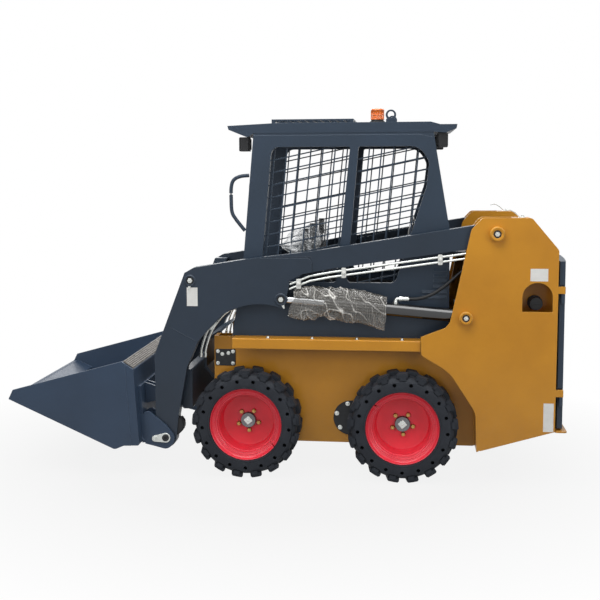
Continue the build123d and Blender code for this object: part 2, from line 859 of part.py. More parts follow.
# Seat on its pan
seat_z = deck_top_z + soft_gap
with BuildPart() as seat:
    with BuildSketch(side_plane(240)):
        outline(
            (-770, seat_z, 0), (-790, 1380, 20), (-720, 1390, 20), (-640, 960, 30), (-300, 930, 30), (-300, seat_z, 0)
        )
    extrude(amount=480)
seat.part.label = "seat"
export_step(seat.part, "parts/seat.step")

# Control levers and their consoles beside the seat
console_y = cab_half - 85
with BuildPart() as controls:
    with BuildSketch(side_plane(console_y + 30)):
        outline(
            (-640, deck_top_z, 0),
            (-640, 980, 30),
            (-280, 1010, 60),
            (-170, 1150, 30),
            (-90, 1150, 30),
            (-90, deck_top_z, 0),
        )
    extrude(amount=60)
    for lever_x, lever_top in ((-150, 1360), (-110, 1330)):
        with BuildSketch(Plane.XY.offset(1100)):
            with Locations((lever_x, console_y)):
                Circle(8)
        extrude(amount=lever_top - 1100)
        with BuildSketch(Plane.XY.offset(lever_top - 90)):
            with Locations((lever_x, console_y)):
                Circle(16)
        extrude(amount=90)
    mirror(about=Plane.XZ)
controls.part.label = "controls"
export_step(controls.part, "parts/controls.step")

# Engine as one plain block at its place
with BuildPart() as engine_block:
    with BuildSketch(Plane.XY.offset(330)):
        with Locations((-1150, 0)):
            Rectangle(430, 400)
    extrude(amount=560)
    for foot_x, foot_z in ((-965, belly_z + tub_plate), (-1300, 265.5)):
        with BuildSketch(Plane.XY.offset(foot_z + soft_gap)):
            with Locations((foot_x, 150), (foot_x, -150)):
                Rectangle(40, 60)
        extrude(amount=330 - foot_z)
engine_block.part.label = "engine_block"
export_step(engine_block.part, "parts/engine_block.step")

# Engine hood between the towers
with BuildPart() as hood:
    with BuildSketch(side_plane(hood_half)):
        outline(
            (-905, 1195, 0),
            (-905, 1215, 10),
            (-1395, 1195, 20),
            (-1420, 1120, 0),
            (-1408, 1120, 0),
            (-1387, 1180, 15),
        )
    extrude(amount=2 * hood_half)
    with BuildSketch(Plane.XY.offset(1100)):
        with Locations((-1170, 0)):
            with GridLocations(40, 300, 8, 2):
                SlotOverall(240, 14, rotation=90)
    extrude(amount=200, mode=Mode.SUBTRACT)
    with BuildSketch(Plane.XY.offset(1100)):
        with Locations((-905, 307), (-905, -307)):
            Rectangle(40, 22)
    extrude(amount=200, mode=Mode.SUBTRACT)
    for hinge_y in (300, -240):
        with BuildSketch(side_plane(hinge_y - 5)):
            with Locations((hood_hinge_x, hood_hinge_z)):
                Circle(9)
        extrude(amount=50)
        with BuildSketch(side_plane(hinge_y + 1)):
            with Locations((hood_hinge_x, hood_hinge_z)):
                Circle(hinge_pin_dia / 2 + pin_gap)
        extrude(amount=62, mode=Mode.SUBTRACT)
hood.part.label = "hood"
export_step(hood.part, "parts/hood.step")

# Rear door, hinged at its left edge: a bowed skin with a folded rim and louvre slots
door_low_z = 300
door_height = 876
with BuildPart() as rear_door:
    with BuildSketch(Plane.XY.offset(door_low_z)):
        with BuildLine():
            Polyline((-1444, door_half), (-1444, -door_half), (-1472, -door_half))
            ThreePointArc((-1472, -door_half), (-1503.8, 0), (-1472, door_half))
            Line((-1472, door_half), (-1444, door_half))
        make_face()
    extrude(amount=door_height)
    with BuildSketch(Plane.XY.offset(door_low_z + 40)):
        with BuildLine():
            half = door_half - 45
            Polyline((-1443, half), (-1443, -half), (-1470 + door_skin, -half))
            ThreePointArc((-1470 + door_skin, -half), (-1503.8 + door_skin, 0), (-1470 + door_skin, half))
            Line((-1470 + door_skin, half), (-1443, half))
        make_face()
    extrude(amount=door_height - 80, mode=Mode.SUBTRACT)
    with BuildSketch(Plane.YZ.offset(-1510)):
        with Locations((0, 850)):
            with GridLocations(400, 46, 2, 8):
                SlotOverall(300, 18)
        with Locations((0, 430)):
            with GridLocations(400, 46, 2, 3):
                SlotOverall(300, 18)
    extrude(amount=60, mode=Mode.SUBTRACT)
    for hinge_z in door_hinge_zs:
        with BuildSketch(Plane.XY.offset(hinge_z + knuckle_height - 4)):
            with Locations((door_hinge_x, door_hinge_y)):
                Circle(38)
        extrude(amount=lug_thick + 10, mode=Mode.SUBTRACT)
        with BuildSketch(Plane.XY.offset(hinge_z)):
            with Locations((door_hinge_x, door_hinge_y)):
                Circle(11)
            with Locations((door_hinge_x, door_hinge_y - 12)):
                Rectangle(16, 24)
        extrude(amount=knuckle_height)
        with BuildSketch(Plane.XY.offset(hinge_z - 1)):
            with Locations((door_hinge_x, door_hinge_y)):
                Circle(hinge_pin_dia / 2 + pin_gap)
        extrude(amount=knuckle_height + 2, mode=Mode.SUBTRACT)
rear_door.part.label = "rear_door"
export_step(rear_door.part, "parts/rear_door.step")

# Beacon on its foot
with BuildPart() as beacon:
    with BuildSketch(Plane.XY.offset(roof_z)):
        with Locations((-495, 200)):
            Circle(42)
    extrude(amount=12)
    with BuildSketch(Plane.XY.offset(roof_z + 12)):
        with Locations((-495, 200)):
            Circle(34)
    extrude(amount=8)
    with BuildSketch(Plane.XY.offset(roof_z + 20)):
        with Locations((-495, 200)):
            Circle(38)
    extrude(amount=62, taper=3)
beacon.part.label = "beacon"
export_step(beacon.part, "parts/beacon.step")

# Wire mesh screens behind the side windows, and the guard over the roof hatch
mesh_y = cab_inner
guard_low_z = roof_z + 18
guard_middle_x = -142
guard_length = 450
guard_width = 500
mesh_step = 65
bar_length = 2000
mesh_wire = 7
mesh_lean = 5
mesh_rise = 12
with BuildPart() as cab_mesh:
    for window in (front_window, rear_window):
        with BuildSketch(side_plane(mesh_y)):
            outline(*window)
            offset(amount=12)
            outline(*window, mode=Mode.SUBTRACT)
        extrude(amount=12)
        middle_x = (min(x for x, z, r in window) + max(x for x, z, r in window)) / 2
        middle_z = (min(z for x, z, r in window) + max(z for x, z, r in window)) / 2
        for depth, turn in ((0, mesh_lean), (mesh_wire / 2 + 2, 90 - mesh_rise)):
            with BuildSketch(side_plane(mesh_y - depth)):
                with Locations((middle_x, middle_z)):
                    for step in range(-8, 9):
                        along = step * mesh_step
                        with Locations((along * cos(radians(turn)), along * sin(radians(turn)))):
                            Rectangle(mesh_wire, bar_length, rotation=turn)
                outline(*window, mode=Mode.INTERSECT)
            extrude(amount=mesh_wire / 2 + 1.5)
    mirror(about=Plane.XZ)
    with BuildSketch(Plane.XY.offset(guard_low_z)):
        with Locations((guard_middle_x, 0)):
            Rectangle(guard_length, guard_width)
            with GridLocations(43, 121, 10, 4):
                Rectangle(33, 111, mode=Mode.SUBTRACT)
    extrude(amount=8)
    with BuildSketch(Plane.XY.offset(roof_z)):
        with Locations((guard_middle_x, 0)):
            with GridLocations(guard_length - 20, guard_width - 20, 2, 2):
                Rectangle(20, 20)
    extrude(amount=guard_low_z - roof_z)
cab_mesh.part.label = "cab_mesh"
export_step(cab_mesh.part, "parts/cab_mesh.step")

# Work lamps under the roof corners
with BuildPart() as work_lamps:
    for lamp_x, lamp_top in ((216, roof_z - roof_thick - 19.5), (-842, roof_z - 58)):
        with BuildSketch(Plane.XY.offset(lamp_top - soft_gap)):
            with Locations((lamp_x, 340)):
                RectangleRounded(50, 80, 8)
        extrude(amount=-lamp_height)
    mirror(about=Plane.XZ)
work_lamps.part.label = "work_lamps"
export_step(work_lamps.part, "parts/work_lamps.step")

# Lifting eye plates on the roof
with BuildPart() as lifting_eyes:
    with BuildSketch(side_plane(cab_half - 60)):
        with Locations((-570, roof_z + 40)):
            Circle(28)
        with Locations((-570, roof_z + 10)):
            Rectangle(52, 20)
        with Locations((-570, roof_z + 42)):
            Circle(17, mode=Mode.SUBTRACT)
    extrude(amount=10)
    mirror(about=Plane.XZ)
lifting_eyes.part.label = "lifting_eyes"
export_step(lifting_eyes.part, "parts/lifting_eyes.step")

# Grab handles on the front posts of the cab
with BuildPart() as grab_handles:
    with BuildLine() as bend:
        FilletPolyline(
            (188, 372, 1622), (262, 372, 1610), (290, 372, 1560), (290, 372, 1420), (216, 372, 1322), radius=25
        )
    with BuildSketch(Plane(origin=bend.line @ 0, z_dir=bend.line % 0)):
        Circle(10)
    sweep(path=bend.line)
    mirror(about=Plane.XZ)
grab_handles.part.label = "grab_handles"
export_step(grab_handles.part, "parts/grab_handles.step")

# Round covers on the chain cases between the wheels, and bolted plates at their front
with BuildPart() as side_covers:
    with BuildSketch(side_plane(tub_half + 4)):
        with Locations((-365, 300)):
            Circle(95)
        with Locations((328, 622)):
            RectangleRounded(112, 92, 8)
    extrude(amount=4)
    mirror(about=Plane.XZ)
side_covers.part.label = "side_covers"
export_step(side_covers.part, "parts/side_covers.step")

# Oil pipes clipped under the rear beams of the arms
with BuildPart() as arm_pipes:
    for drop, start_x in ((18, -40.8), (44, -38.2)):
        with BuildLine() as run:
            FilletPolyline(
                (start_x, arm_half - 12, 1061 - drop),
                (-150, arm_half - 12, 1106 - drop),
                (-260, arm_half - 12, 1127 - drop),
                (-970, arm_half - 12, 1231 - drop),
                radius=60,
            )
        with BuildSketch(Plane(origin=run.line @ 0, z_dir=run.line % 0)):
            Circle(6)
        sweep(path=run.line)
    mirror(about=Plane.XZ)
arm_pipes.part.label = "arm_pipes"
export_step(arm_pipes.part, "parts/arm_pipes.step")

# Loose wrap of film round the left lift cylinder
with BuildPart() as cylinder_wrap:
    with BuildSketch(cylinder_plane(lift_base, lift_eye, arm_mid_y, 415)):
        Ellipse(46, 84)
        Circle(lift_barrel_dia / 2 + soft_gap, mode=Mode.SUBTRACT)
    extrude(amount=465)
cylinder_wrap.part.label = "cylinder_wrap"
export_step(cylinder_wrap.part, "parts/cylinder_wrap.step")
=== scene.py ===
# %% [markdown]
# # A skid steer loader, dressed for its portrait
# The steelwork is already modelled, as CAD solids in metres that ride on moving bodies. This
# lesson adds what makes it look real: sprayed enamel, chrome, zinc, moulded tyres, crumpled
# film, cushions and small fastenings. +X is forward, +Y the machine's left, +Z up.

# %% Load the CAD frame
import json
import math

import bmesh
import bpy
from mathutils import Matrix, Vector, noise


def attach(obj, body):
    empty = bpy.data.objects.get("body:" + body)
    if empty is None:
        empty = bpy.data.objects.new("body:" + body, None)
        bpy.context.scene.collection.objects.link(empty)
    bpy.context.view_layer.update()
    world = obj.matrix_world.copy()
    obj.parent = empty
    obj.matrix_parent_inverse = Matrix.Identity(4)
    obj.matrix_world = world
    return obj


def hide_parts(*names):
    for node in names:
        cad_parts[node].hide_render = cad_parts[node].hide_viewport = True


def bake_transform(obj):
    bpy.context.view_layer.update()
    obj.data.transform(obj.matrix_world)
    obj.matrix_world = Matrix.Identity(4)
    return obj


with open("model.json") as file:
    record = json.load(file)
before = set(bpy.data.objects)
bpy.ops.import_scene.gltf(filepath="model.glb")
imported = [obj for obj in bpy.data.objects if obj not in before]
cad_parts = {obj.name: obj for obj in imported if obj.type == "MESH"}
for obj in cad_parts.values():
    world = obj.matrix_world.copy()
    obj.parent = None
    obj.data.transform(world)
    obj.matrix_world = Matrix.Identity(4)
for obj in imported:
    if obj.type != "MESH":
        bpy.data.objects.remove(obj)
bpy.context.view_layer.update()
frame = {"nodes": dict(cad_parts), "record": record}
nodes = frame["nodes"]

# %% [markdown]
# ## Camera
# The picture was taken from the machine's left, level with the rear axle and a little lower than
# the cab's roof, with the camera turned slightly towards the bucket. The place and angles come
# from a fit to the wheels, the roof and the ledge. A small shift stands for the picture's crop.

# %% The camera
MM = 0.001
PICTURE = 600
camera_data = bpy.data.cameras.new("camera")
camera = bpy.data.objects.new("camera", camera_data)
bpy.context.scene.collection.objects.link(camera)
bpy.context.scene.camera = camera
camera.location = Vector((-647.4, 6120.9, 1649.6)) * MM
turn, tilt, roll = math.radians(7.635), math.radians(5.45), math.radians(0.237)
focal_pixels = 1065.7
optical_centre = (262, 272)
level_right = Vector((-math.cos(turn), -math.sin(turn), 0))
level_ahead = Vector((math.sin(turn), -math.cos(turn), 0))
ahead = level_ahead * math.cos(tilt) - Vector((0, 0, math.sin(tilt)))
above = Vector((0, 0, math.cos(tilt))) + level_ahead * math.sin(tilt)
right = level_right * math.cos(roll) - above * math.sin(roll)
up = above * math.cos(roll) + level_right * math.sin(roll)
camera.rotation_mode = "QUATERNION"
camera.rotation_quaternion = Matrix((right, up, -ahead)).transposed().to_quaternion()
camera_data.sensor_width = 36
camera_data.lens = camera_data.sensor_width * focal_pixels / PICTURE
camera_data.shift_x = (PICTURE / 2 - optical_centre[0]) / PICTURE
camera_data.shift_y = (optical_centre[1] - PICTURE / 2) / PICTURE
camera_data.clip_end = 100
print("lens", round(camera_data.lens, 1), "mm, shift", round(camera_data.shift_x, 3))

# %% [markdown]
# ## Helpers for shader nodes
# Every finish is a small tree of nodes. One function adds a node with its settings and links,
# and one turns the hex colours that painters quote into the linear values that light needs.

# %% Colours and nodes


def linear(code):
    """Turn an sRGB hex colour into linear red, green, blue and alpha."""
    channels = [int(code[i:i + 2], 16) / 255 for i in (1, 3, 5)]
    bent = [c / 12.92 if c <= 0.04045 else ((c + 0.055) / 1.055) ** 2.4 for c in channels]
    return (*bent, 1.0)


def add_node(tree, kind, settings, sockets):
    """Add a node: settings are its properties, and each socket gets a value or a link."""
    node = tree.nodes.new(kind)
    for name, value in settings.items():
        setattr(node, name, value)
    for key, value in sockets.items():
        if isinstance(value, bpy.types.NodeSocket):
            tree.links.new(value, node.inputs[key])
        else:
            node.inputs[key].default_value = value
    return node


def new_finish(name):
    """A material with its shader, and the position on the piece in metres."""
    material = bpy.data.materials.new(name)
    material.use_nodes = True
    tree = material.node_tree
    tree.nodes.clear()
    output = add_node(tree, "ShaderNodeOutputMaterial", {}, {})
    shader = add_node(tree, "ShaderNodeBsdfPrincipled", {}, {})
    tree.links.new(shader.outputs[0], output.inputs["Surface"])
    place = add_node(tree, "ShaderNodeTexCoord", {}, {}).outputs["Object"]
    return material, tree, shader, place


def per_metre(size_mm):
    """The noise scale at which one blotch is about this many millimetres across."""
    return 1000 / size_mm


MULTIPLY = {"operation": "MULTIPLY", "use_clamp": True}
LARGER = {"operation": "MAXIMUM"}
BLEND = {"data_type": "RGBA"}
FACTOR, FIRST, SECOND, MIXED = 0, 6, 7, 2
print("node helpers ready, ochre is", [round(v, 3) for v in linear("#cc8c20")])

# %% [markdown]
# ## Sprayed enamel
# The sheet steel is two-pack enamel, sprayed and stoved. The gun leaves orange peel of two or
# three millimetres; at this distance a pixel covers six, so it is drawn coarser, or it would not
# show. Wide, faint waves stand for the rolling and welding of the plate. A bevel node rounds the
# sharp CAD edges in the light only, and a paler colour is painted along them as a highlight. Thin
# road dust lies on the lower parts.

# %% The five enamels
PEEL_MM = 14
WAVE_MM = 260
BLOTCH_MM = 330
EDGE_RADIUS = 2.5 * MM
DUST_GRAIN_MM = 28
ROAD_DUST = "#8a8073"
DUST_TOP, DUST_BOTTOM = 0.75, 0.05
DULL_SPECULAR = 0.3


def sprayed_enamel(name, colour, shade, edge, roughness, coat, dust):
    """Two-pack enamel on plate: body colour, darker drift, painted edge highlight, dust near the
    ground.
    """
    material, tree, shader, place = new_finish(name)
    blotches = add_node(tree, "ShaderNodeTexNoise", {}, {
        "Vector": place, "Scale": per_metre(BLOTCH_MM), "Detail": 5.0, "Roughness": 0.6})
    drift = add_node(tree, "ShaderNodeMapRange", {}, {
        "Value": blotches.outputs[0], "From Min": 0.35, "From Max": 0.7})
    body = add_node(tree, "ShaderNodeMix", BLEND, {
        FACTOR: drift.outputs[0], FIRST: linear(colour), SECOND: linear(shade)})
    rounded = add_node(tree, "ShaderNodeBevel", {"samples": 6}, {"Radius": EDGE_RADIUS})
    flat = add_node(tree, "ShaderNodeNewGeometry", {}, {})
    agreement = add_node(tree, "ShaderNodeVectorMath", {"operation": "DOT_PRODUCT"}, {
        0: rounded.outputs[0], 1: flat.outputs["Normal"]})
    # Painted highlight: a paler colour along the edges that the bevel node rounds, where light would
    # catch them.
    edge_highlight = add_node(tree, "ShaderNodeMapRange", {}, {
        "Value": agreement.outputs["Value"], "From Min": 0.99, "From Max": 0.88,
        "To Min": 0.0, "To Max": 0.55})
    edge_highlighted = add_node(tree, "ShaderNodeMix", BLEND, {
        FACTOR: edge_highlight.outputs[0], FIRST: body.outputs[MIXED], SECOND: linear(edge)})
    height = add_node(tree, "ShaderNodeSeparateXYZ", {}, {0: place})
    low = add_node(tree, "ShaderNodeMapRange", {}, {
        "Value": height.outputs["Z"], "From Min": DUST_TOP, "From Max": DUST_BOTTOM,
        "To Min": 0.0, "To Max": dust})
    grains = add_node(tree, "ShaderNodeTexNoise", {}, {
        "Vector": place, "Scale": per_metre(DUST_GRAIN_MM), "Detail": 8.0, "Roughness": 0.75})
    dusting = add_node(tree, "ShaderNodeMath", MULTIPLY, {
        0: low.outputs[0], 1: grains.outputs[0]})
    dusty = add_node(tree, "ShaderNodeMix", BLEND, {
        FACTOR: dusting.outputs[0], FIRST: edge_highlighted.outputs[MIXED], SECOND: linear(ROAD_DUST)})
    tree.links.new(dusty.outputs[MIXED], shader.inputs["Base Color"])
    gloss = add_node(tree, "ShaderNodeMapRange", {}, {
        "Value": grains.outputs[0], "From Min": 0.3, "From Max": 0.75,
        "To Min": roughness - 0.05, "To Max": roughness + 0.09})
    tree.links.new(gloss.outputs[0], shader.inputs["Roughness"])
    peel = add_node(tree, "ShaderNodeTexNoise", {}, {
        "Vector": place, "Scale": per_metre(PEEL_MM), "Detail": 2.0})
    waves = add_node(tree, "ShaderNodeTexNoise", {}, {
        "Vector": place, "Scale": per_metre(WAVE_MM), "Detail": 1.0})
    wavy = add_node(tree, "ShaderNodeBump", {}, {
        "Height": waves.outputs[0], "Strength": 0.25, "Distance": 0.006,
        "Normal": rounded.outputs[0]})
    bumpy = add_node(tree, "ShaderNodeBump", {}, {
        "Height": peel.outputs[0], "Strength": 0.12, "Distance": 0.0012,
        "Normal": wavy.outputs[0]})
    tree.links.new(bumpy.outputs[0], shader.inputs["Normal"])
    shader.inputs["IOR"].default_value = 1.5
    shader.inputs["Specular IOR Level"].default_value = DULL_SPECULAR
    shader.inputs["Coat Weight"].default_value = coat
    shader.inputs["Coat Roughness"].default_value = 0.12
    return material


ochre_enamel = sprayed_enamel(
    "ochre_enamel_sprayed", "#cc8c20", "#be801b", "#e8bb62",
    roughness=0.38, coat=0.2, dust=0.25)
slate_enamel = sprayed_enamel(
    "slate_enamel_sprayed", "#2a3848", "#253240", "#5f6c79",
    roughness=0.46, coat=0.08, dust=0.08)
red_enamel = sprayed_enamel(
    "red_enamel_sprayed", "#f02f44", "#dc283a", "#ff8f98",
    roughness=0.32, coat=0.3, dust=0.06)
arm_enamel = sprayed_enamel(
    "slate_enamel_arms", "#24303e", "#1f2a36", "#56626e",
    roughness=0.46, coat=0.08, dust=0.08)
bucket_enamel = sprayed_enamel(
    "slate_enamel_bucket", "#304258", "#2b3b4f", "#66758a",
    roughness=0.46, coat=0.08, dust=0.08)
print("enamels:", ", ".join(enamel.name for enamel in (
    ochre_enamel, slate_enamel, red_enamel, arm_enamel, bucket_enamel)))

# %% [markdown]
# ## Bright and plain metals
# Cylinder rods are hard chrome, ground along and polished. Fittings and pipes are zinc-plated
# steel, duller and faintly mottled by the plating's crystals. Metals keep the default IOR: what
# differs is the colour, the roughness and the direction of the fine marks.

# %% Chrome, zinc, black steel, iron


def bare_metal(name, colour, shade, roughness, mottle_mm, bump, stretch=1, metallic=1.0):
    """A metal whose colour and gloss drift over mottles, stretched along the machine."""
    material, tree, shader, place = new_finish(name)
    along = add_node(tree, "ShaderNodeMapping", {}, {"Vector": place, "Scale": (stretch, 1, 1)})
    mottle = add_node(tree, "ShaderNodeTexNoise", {}, {
        "Vector": along.outputs[0], "Scale": per_metre(mottle_mm), "Detail": 6.0})
    colours = add_node(tree, "ShaderNodeMix", BLEND, {
        FACTOR: mottle.outputs[0], FIRST: linear(colour), SECOND: linear(shade)})
    tree.links.new(colours.outputs[MIXED], shader.inputs["Base Color"])
    gloss = add_node(tree, "ShaderNodeMapRange", {}, {
        "Value": mottle.outputs[0], "From Min": 0.3, "From Max": 0.7,
        "To Min": roughness * 0.8, "To Max": roughness * 1.25})
    tree.links.new(gloss.outputs[0], shader.inputs["Roughness"])
    rounded = add_node(tree, "ShaderNodeBevel", {"samples": 4}, {"Radius": 1.5 * MM})
    dents = add_node(tree, "ShaderNodeBump", {}, {
        "Height": mottle.outputs[0], "Strength": bump, "Distance": 0.001,
        "Normal": rounded.outputs[0]})
    tree.links.new(dents.outputs[0], shader.inputs["Normal"])
    shader.inputs["Metallic"].default_value = metallic
    return material


hard_chrome = bare_metal(
    "hard_chrome_ground", "#d9dbdd", "#c9ccd0", roughness=0.09, mottle_mm=6, bump=0.05, stretch=0.05)
zinc_plate = bare_metal(
    "zinc_plated_steel", "#d6d9d6", "#b9bcb8", roughness=0.28, mottle_mm=14, bump=0.06)
black_steel = bare_metal(
    "blackened_steel", "#26282b", "#17181a", roughness=0.48, mottle_mm=24, bump=0.25,
    metallic=0.35)
cast_iron = bare_metal(
    "sand_cast_iron", "#4a4b4d", "#333436", roughness=0.68, mottle_mm=8, bump=0.8,
    metallic=0.3)
barrel_enamel = bare_metal(
    "black_gloss_enamel_on_steel", "#15171a", "#0d0e10", roughness=0.2, mottle_mm=60, bump=0.06,
    metallic=0.0)
barrel_enamel.node_tree.nodes["Principled BSDF"].inputs["Coat Weight"].default_value = 0.8
print("metals done")

# %% [markdown]
# ## Rubber, plastic and vinyl
# Solid tyres are moulded from natural rubber with carbon black: matt, slightly blue under a grey
# sky, with a bloom of pale wax and dust. Grips and caps are injection-moulded polypropylene with
# spark-eroded grain. The seat is vinyl, calendered with a leather grain of about 2 mm.

# %% Soft and moulded finishes
BLOOM_MM = 90


def moulded(name, colour, bloom, amount, roughness, grain_mm, bump, ior, cells=False):
    """A moulded surface: a colour, a paler bloom in patches, and a fine grain."""
    material, tree, shader, place = new_finish(name)
    patches = add_node(tree, "ShaderNodeTexNoise", {}, {
        "Vector": place, "Scale": per_metre(BLOOM_MM), "Detail": 9.0, "Roughness": 0.7})
    bloom_here = add_node(tree, "ShaderNodeMapRange", {}, {
        "Value": patches.outputs[0], "From Min": 0.42, "From Max": 0.72, "To Max": amount})
    colours = add_node(tree, "ShaderNodeMix", BLEND, {
        FACTOR: bloom_here.outputs[0], FIRST: linear(colour), SECOND: linear(bloom)})
    tree.links.new(colours.outputs[MIXED], shader.inputs["Base Color"])
    kind = "ShaderNodeTexVoronoi" if cells else "ShaderNodeTexNoise"
    grain = add_node(tree, kind, {}, {"Vector": place, "Scale": per_metre(grain_mm)})
    skin = add_node(tree, "ShaderNodeBump", {}, {
        "Height": grain.outputs[0], "Strength": bump, "Distance": 0.0008})
    tree.links.new(skin.outputs[0], shader.inputs["Normal"])
    gloss = add_node(tree, "ShaderNodeMapRange", {}, {
        "Value": patches.outputs[0], "To Min": roughness - 0.08, "To Max": roughness + 0.08})
    tree.links.new(gloss.outputs[0], shader.inputs["Roughness"])
    shader.inputs["IOR"].default_value = ior
    shader.inputs["Specular IOR Level"].default_value = DULL_SPECULAR
    return material


tyre_rubber = moulded(
    "tyre_rubber_moulded", "#1b1f26", "#44484f",
    amount=0.3, roughness=0.7, grain_mm=5, bump=0.35, ior=1.52)
bumper_rubber = moulded(
    "bumper_rubber_extruded", "#1c1d20", "#3c3c3e",
    amount=0.25, roughness=0.55, grain_mm=4, bump=0.2, ior=1.52)
black_moulding = moulded(
    "polypropylene_moulded", "#1b1c1e", "#3a3b3d",
    amount=0.15, roughness=0.5, grain_mm=3, bump=0.2, ior=1.49)
seat_vinyl = moulded(
    "seat_vinyl_calendered", "#1d1e20", "#3a3a3c",
    amount=0.25, roughness=0.44, grain_mm=5, bump=0.5, ior=1.53, cells=True)
label_stock = moulded(
    "polyester_label_printed", "#e9e8e3", "#c9c6bd",
    amount=0.4, roughness=0.35, grain_mm=12, bump=0.05, ior=1.5)
clip_nylon = moulded(
    "nylon_clip_natural", "#e4e4df", "#c8c8c2",
    amount=0.2, roughness=0.4, grain_mm=8, bump=0.05, ior=1.53)
print("mouldings done")

# %% The finishes go onto the CAD nodes
finish_of_slot = {
    "yellow_paint": ochre_enamel,
    "dark_paint": slate_enamel,
    "red_paint": red_enamel,
    "barrel_paint": barrel_enamel,
    "dark_steel": black_steel,
    "rod_chrome": hard_chrome,
    "zinc_steel": zinc_plate,
    "tyre_rubber": tyre_rubber,
    "seat_vinyl": seat_vinyl,
    "black_plastic": black_moulding,
    "engine_iron": cast_iron,
}
slot_of_node = {
    part["node"]: part["material_slot"] for part in frame["record"]["subparts"]}
# The arms get a little darker copy of the slate enamel, and the bucket a lighter, bluer one.
finish_of_node = {
    "arm_left": arm_enamel, "arm_right": arm_enamel, "arm_cross_beam": arm_enamel,
    "bucket": bucket_enamel, "quick_attach": bucket_enamel}
for name, node in nodes.items():
    finish = finish_of_node.get(name) or finish_of_slot.get(slot_of_node[name])
    if finish:
        for material_slot in node.material_slots:
            material_slot.material = finish
print("dressed", len(nodes), "CAD nodes")

# %% [markdown]
# ## Helpers for shapes
# Turned parts, such as pins, nuts and tyres, are a profile spun round an axis. They go straight
# into a bmesh, in millimetres, and one function makes the finished piece: scaled to metres,
# smoothed, and riding on its body. Blocks, plates and bars get their helpers where they are first
# needed.

# %% From bmesh to a riding piece


def make_piece(name, shape, finish, body, smooth=38):
    """Scale a bmesh from millimetres, give it its finish, and let it ride on a body, if any."""
    bmesh.ops.recalc_face_normals(shape, faces=shape.faces)
    bmesh.ops.scale(shape, vec=(MM, MM, MM), verts=shape.verts)
    mesh = bpy.data.meshes.new(name)
    shape.to_mesh(mesh)
    shape.free()
    mesh.materials.append(finish)
    for face in mesh.polygons:
        face.use_smooth = True
    mesh.set_sharp_from_angle(angle=math.radians(smooth))
    piece = bpy.data.objects.new(name, mesh)
    bpy.context.scene.collection.objects.link(piece)
    if body:
        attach(piece, body)
    return piece


def standing(place, direction, spin=0.0):
    """A matrix that puts local Z along a direction, at a place in millimetres."""
    rotation = Vector(direction).to_track_quat("Z", "Y").to_matrix().to_4x4()
    return Matrix.Translation(Vector(place)) @ rotation @ Matrix.Rotation(spin, 4, "Z")


LEFT, BACKWARD, UP = (0, 1, 0), (-1, 0, 0), (0, 0, 1)
HANDS = (("left", 1), ("right", -1))


def turned_part(shape, profile, matrix, sides=32):
    """Spin (radius, height) pairs round the matrix's Z; a radius of 0 closes an end."""
    rings = []
    for radius, height in profile:
        if radius == 0:
            rings.append([shape.verts.new(matrix @ Vector((0, 0, height)))])
            continue
        ring = []
        for step in range(sides):
            angle = math.tau * step / sides
            ring.append(shape.verts.new(
                matrix @ Vector((radius * math.cos(angle), radius * math.sin(angle), height))))
        rings.append(ring)
    for near, far in zip(rings, rings[1:]):
        for step in range(sides):
            after = (step + 1) % sides
            corners = [near[step % len(near)], near[after % len(near)],
                       far[after % len(far)], far[step % len(far)]]
            shape.faces.new(dict.fromkeys(corners))
    return rings


print("helpers ready")

# %% [markdown]
# ## Solid tyres
# These tyres are solid rubber: flat sides with a ring of blind holes that let the rubber flex,
# a stepped shoulder, and two rows of chunky lugs set half a pitch apart. The CAD tyre has the
# right sizes but few faces. Here the carcass is spun finely, the holes are cut by a boolean,
# and every lug is one bevelled block bent round the tread, so all its edges catch the light.

# %% The carcass with its side holes
TYRE_RADIUS = 292
TYRE_HALF = 97.5
LUGS = 17
LUG_TOP = 291.6
HOLE_RING, HOLE_FLOOR = 236, 62.5
wheel_side = [
    (196.4, 90), (196.4, 96), (198, 97.4), (204, 97.4), (205, 96.2), (207, 96.2), (208, 97.4),
    (248, 97.4), (250.5, 96.6), (252, 94.5), (253.2, 91), (258, 88), (264, 83), (268, 78),
    (270, 73), (270.4, 40), (270.4, 0)]
carcass_profile = [(r, -a) for r, a in wheel_side] + [(r, a) for r, a in reversed(wheel_side[:-1])]


def scratch_object(shape, name):
    """An object that exists only while a shape is being worked out."""
    mesh = bpy.data.meshes.new(name)
    shape.to_mesh(mesh)
    shape.free()
    made = bpy.data.objects.new(name, mesh)
    bpy.context.scene.collection.objects.link(made)
    return made


def evaluated_mesh(thing):
    """The mesh that an object shows, with its modifiers or curve settings worked out."""
    return bpy.data.meshes.new_from_object(
        thing.evaluated_get(bpy.context.evaluated_depsgraph_get()))


def cut_away(blank_shape, tool_shape):
    """The first bmesh with the second cut out of it, as a new bmesh."""
    blank, tool = scratch_object(blank_shape, "blank"), scratch_object(tool_shape, "tool")
    cut = blank.modifiers.new("cut", "BOOLEAN")
    cut.object, cut.operation, cut.solver = tool, "DIFFERENCE", "EXACT"
    bpy.context.view_layer.update()
    result = bmesh.new()
    result.from_object(blank, bpy.context.evaluated_depsgraph_get())
    for spare in (blank, tool):
        bpy.data.objects.remove(spare)
    return result


def carcass_with_holes():
    """The spun carcass, with a ring of blind holes in each side, as a bmesh."""
    body = bmesh.new()
    turned_part(body, [*carcass_profile, carcass_profile[0]], Matrix.Identity(4), LUGS * 10)
    bmesh.ops.remove_doubles(body, verts=body.verts, dist=0.001)
    bmesh.ops.recalc_face_normals(body, faces=body.faces)
    drills = bmesh.new()
    for side in (1, -1):
        for hole in range(LUGS):
            angle = math.tau * (hole + 0.25) / LUGS
            floor_spot = (
                HOLE_RING * math.cos(angle), HOLE_RING * math.sin(angle), side * HOLE_FLOOR)
            turned_part(drills, [(0, 0), (9.5, 0), (10, 34.2), (11.2, 36), (11.2, 40), (0, 40)],
                        standing(floor_spot, (0, 0, side)), 16)
    bmesh.ops.recalc_face_normals(drills, faces=drills.faces)
    return cut_away(body, drills)


carcass = carcass_with_holes()
print("carcass", len(carcass.faces), "faces")

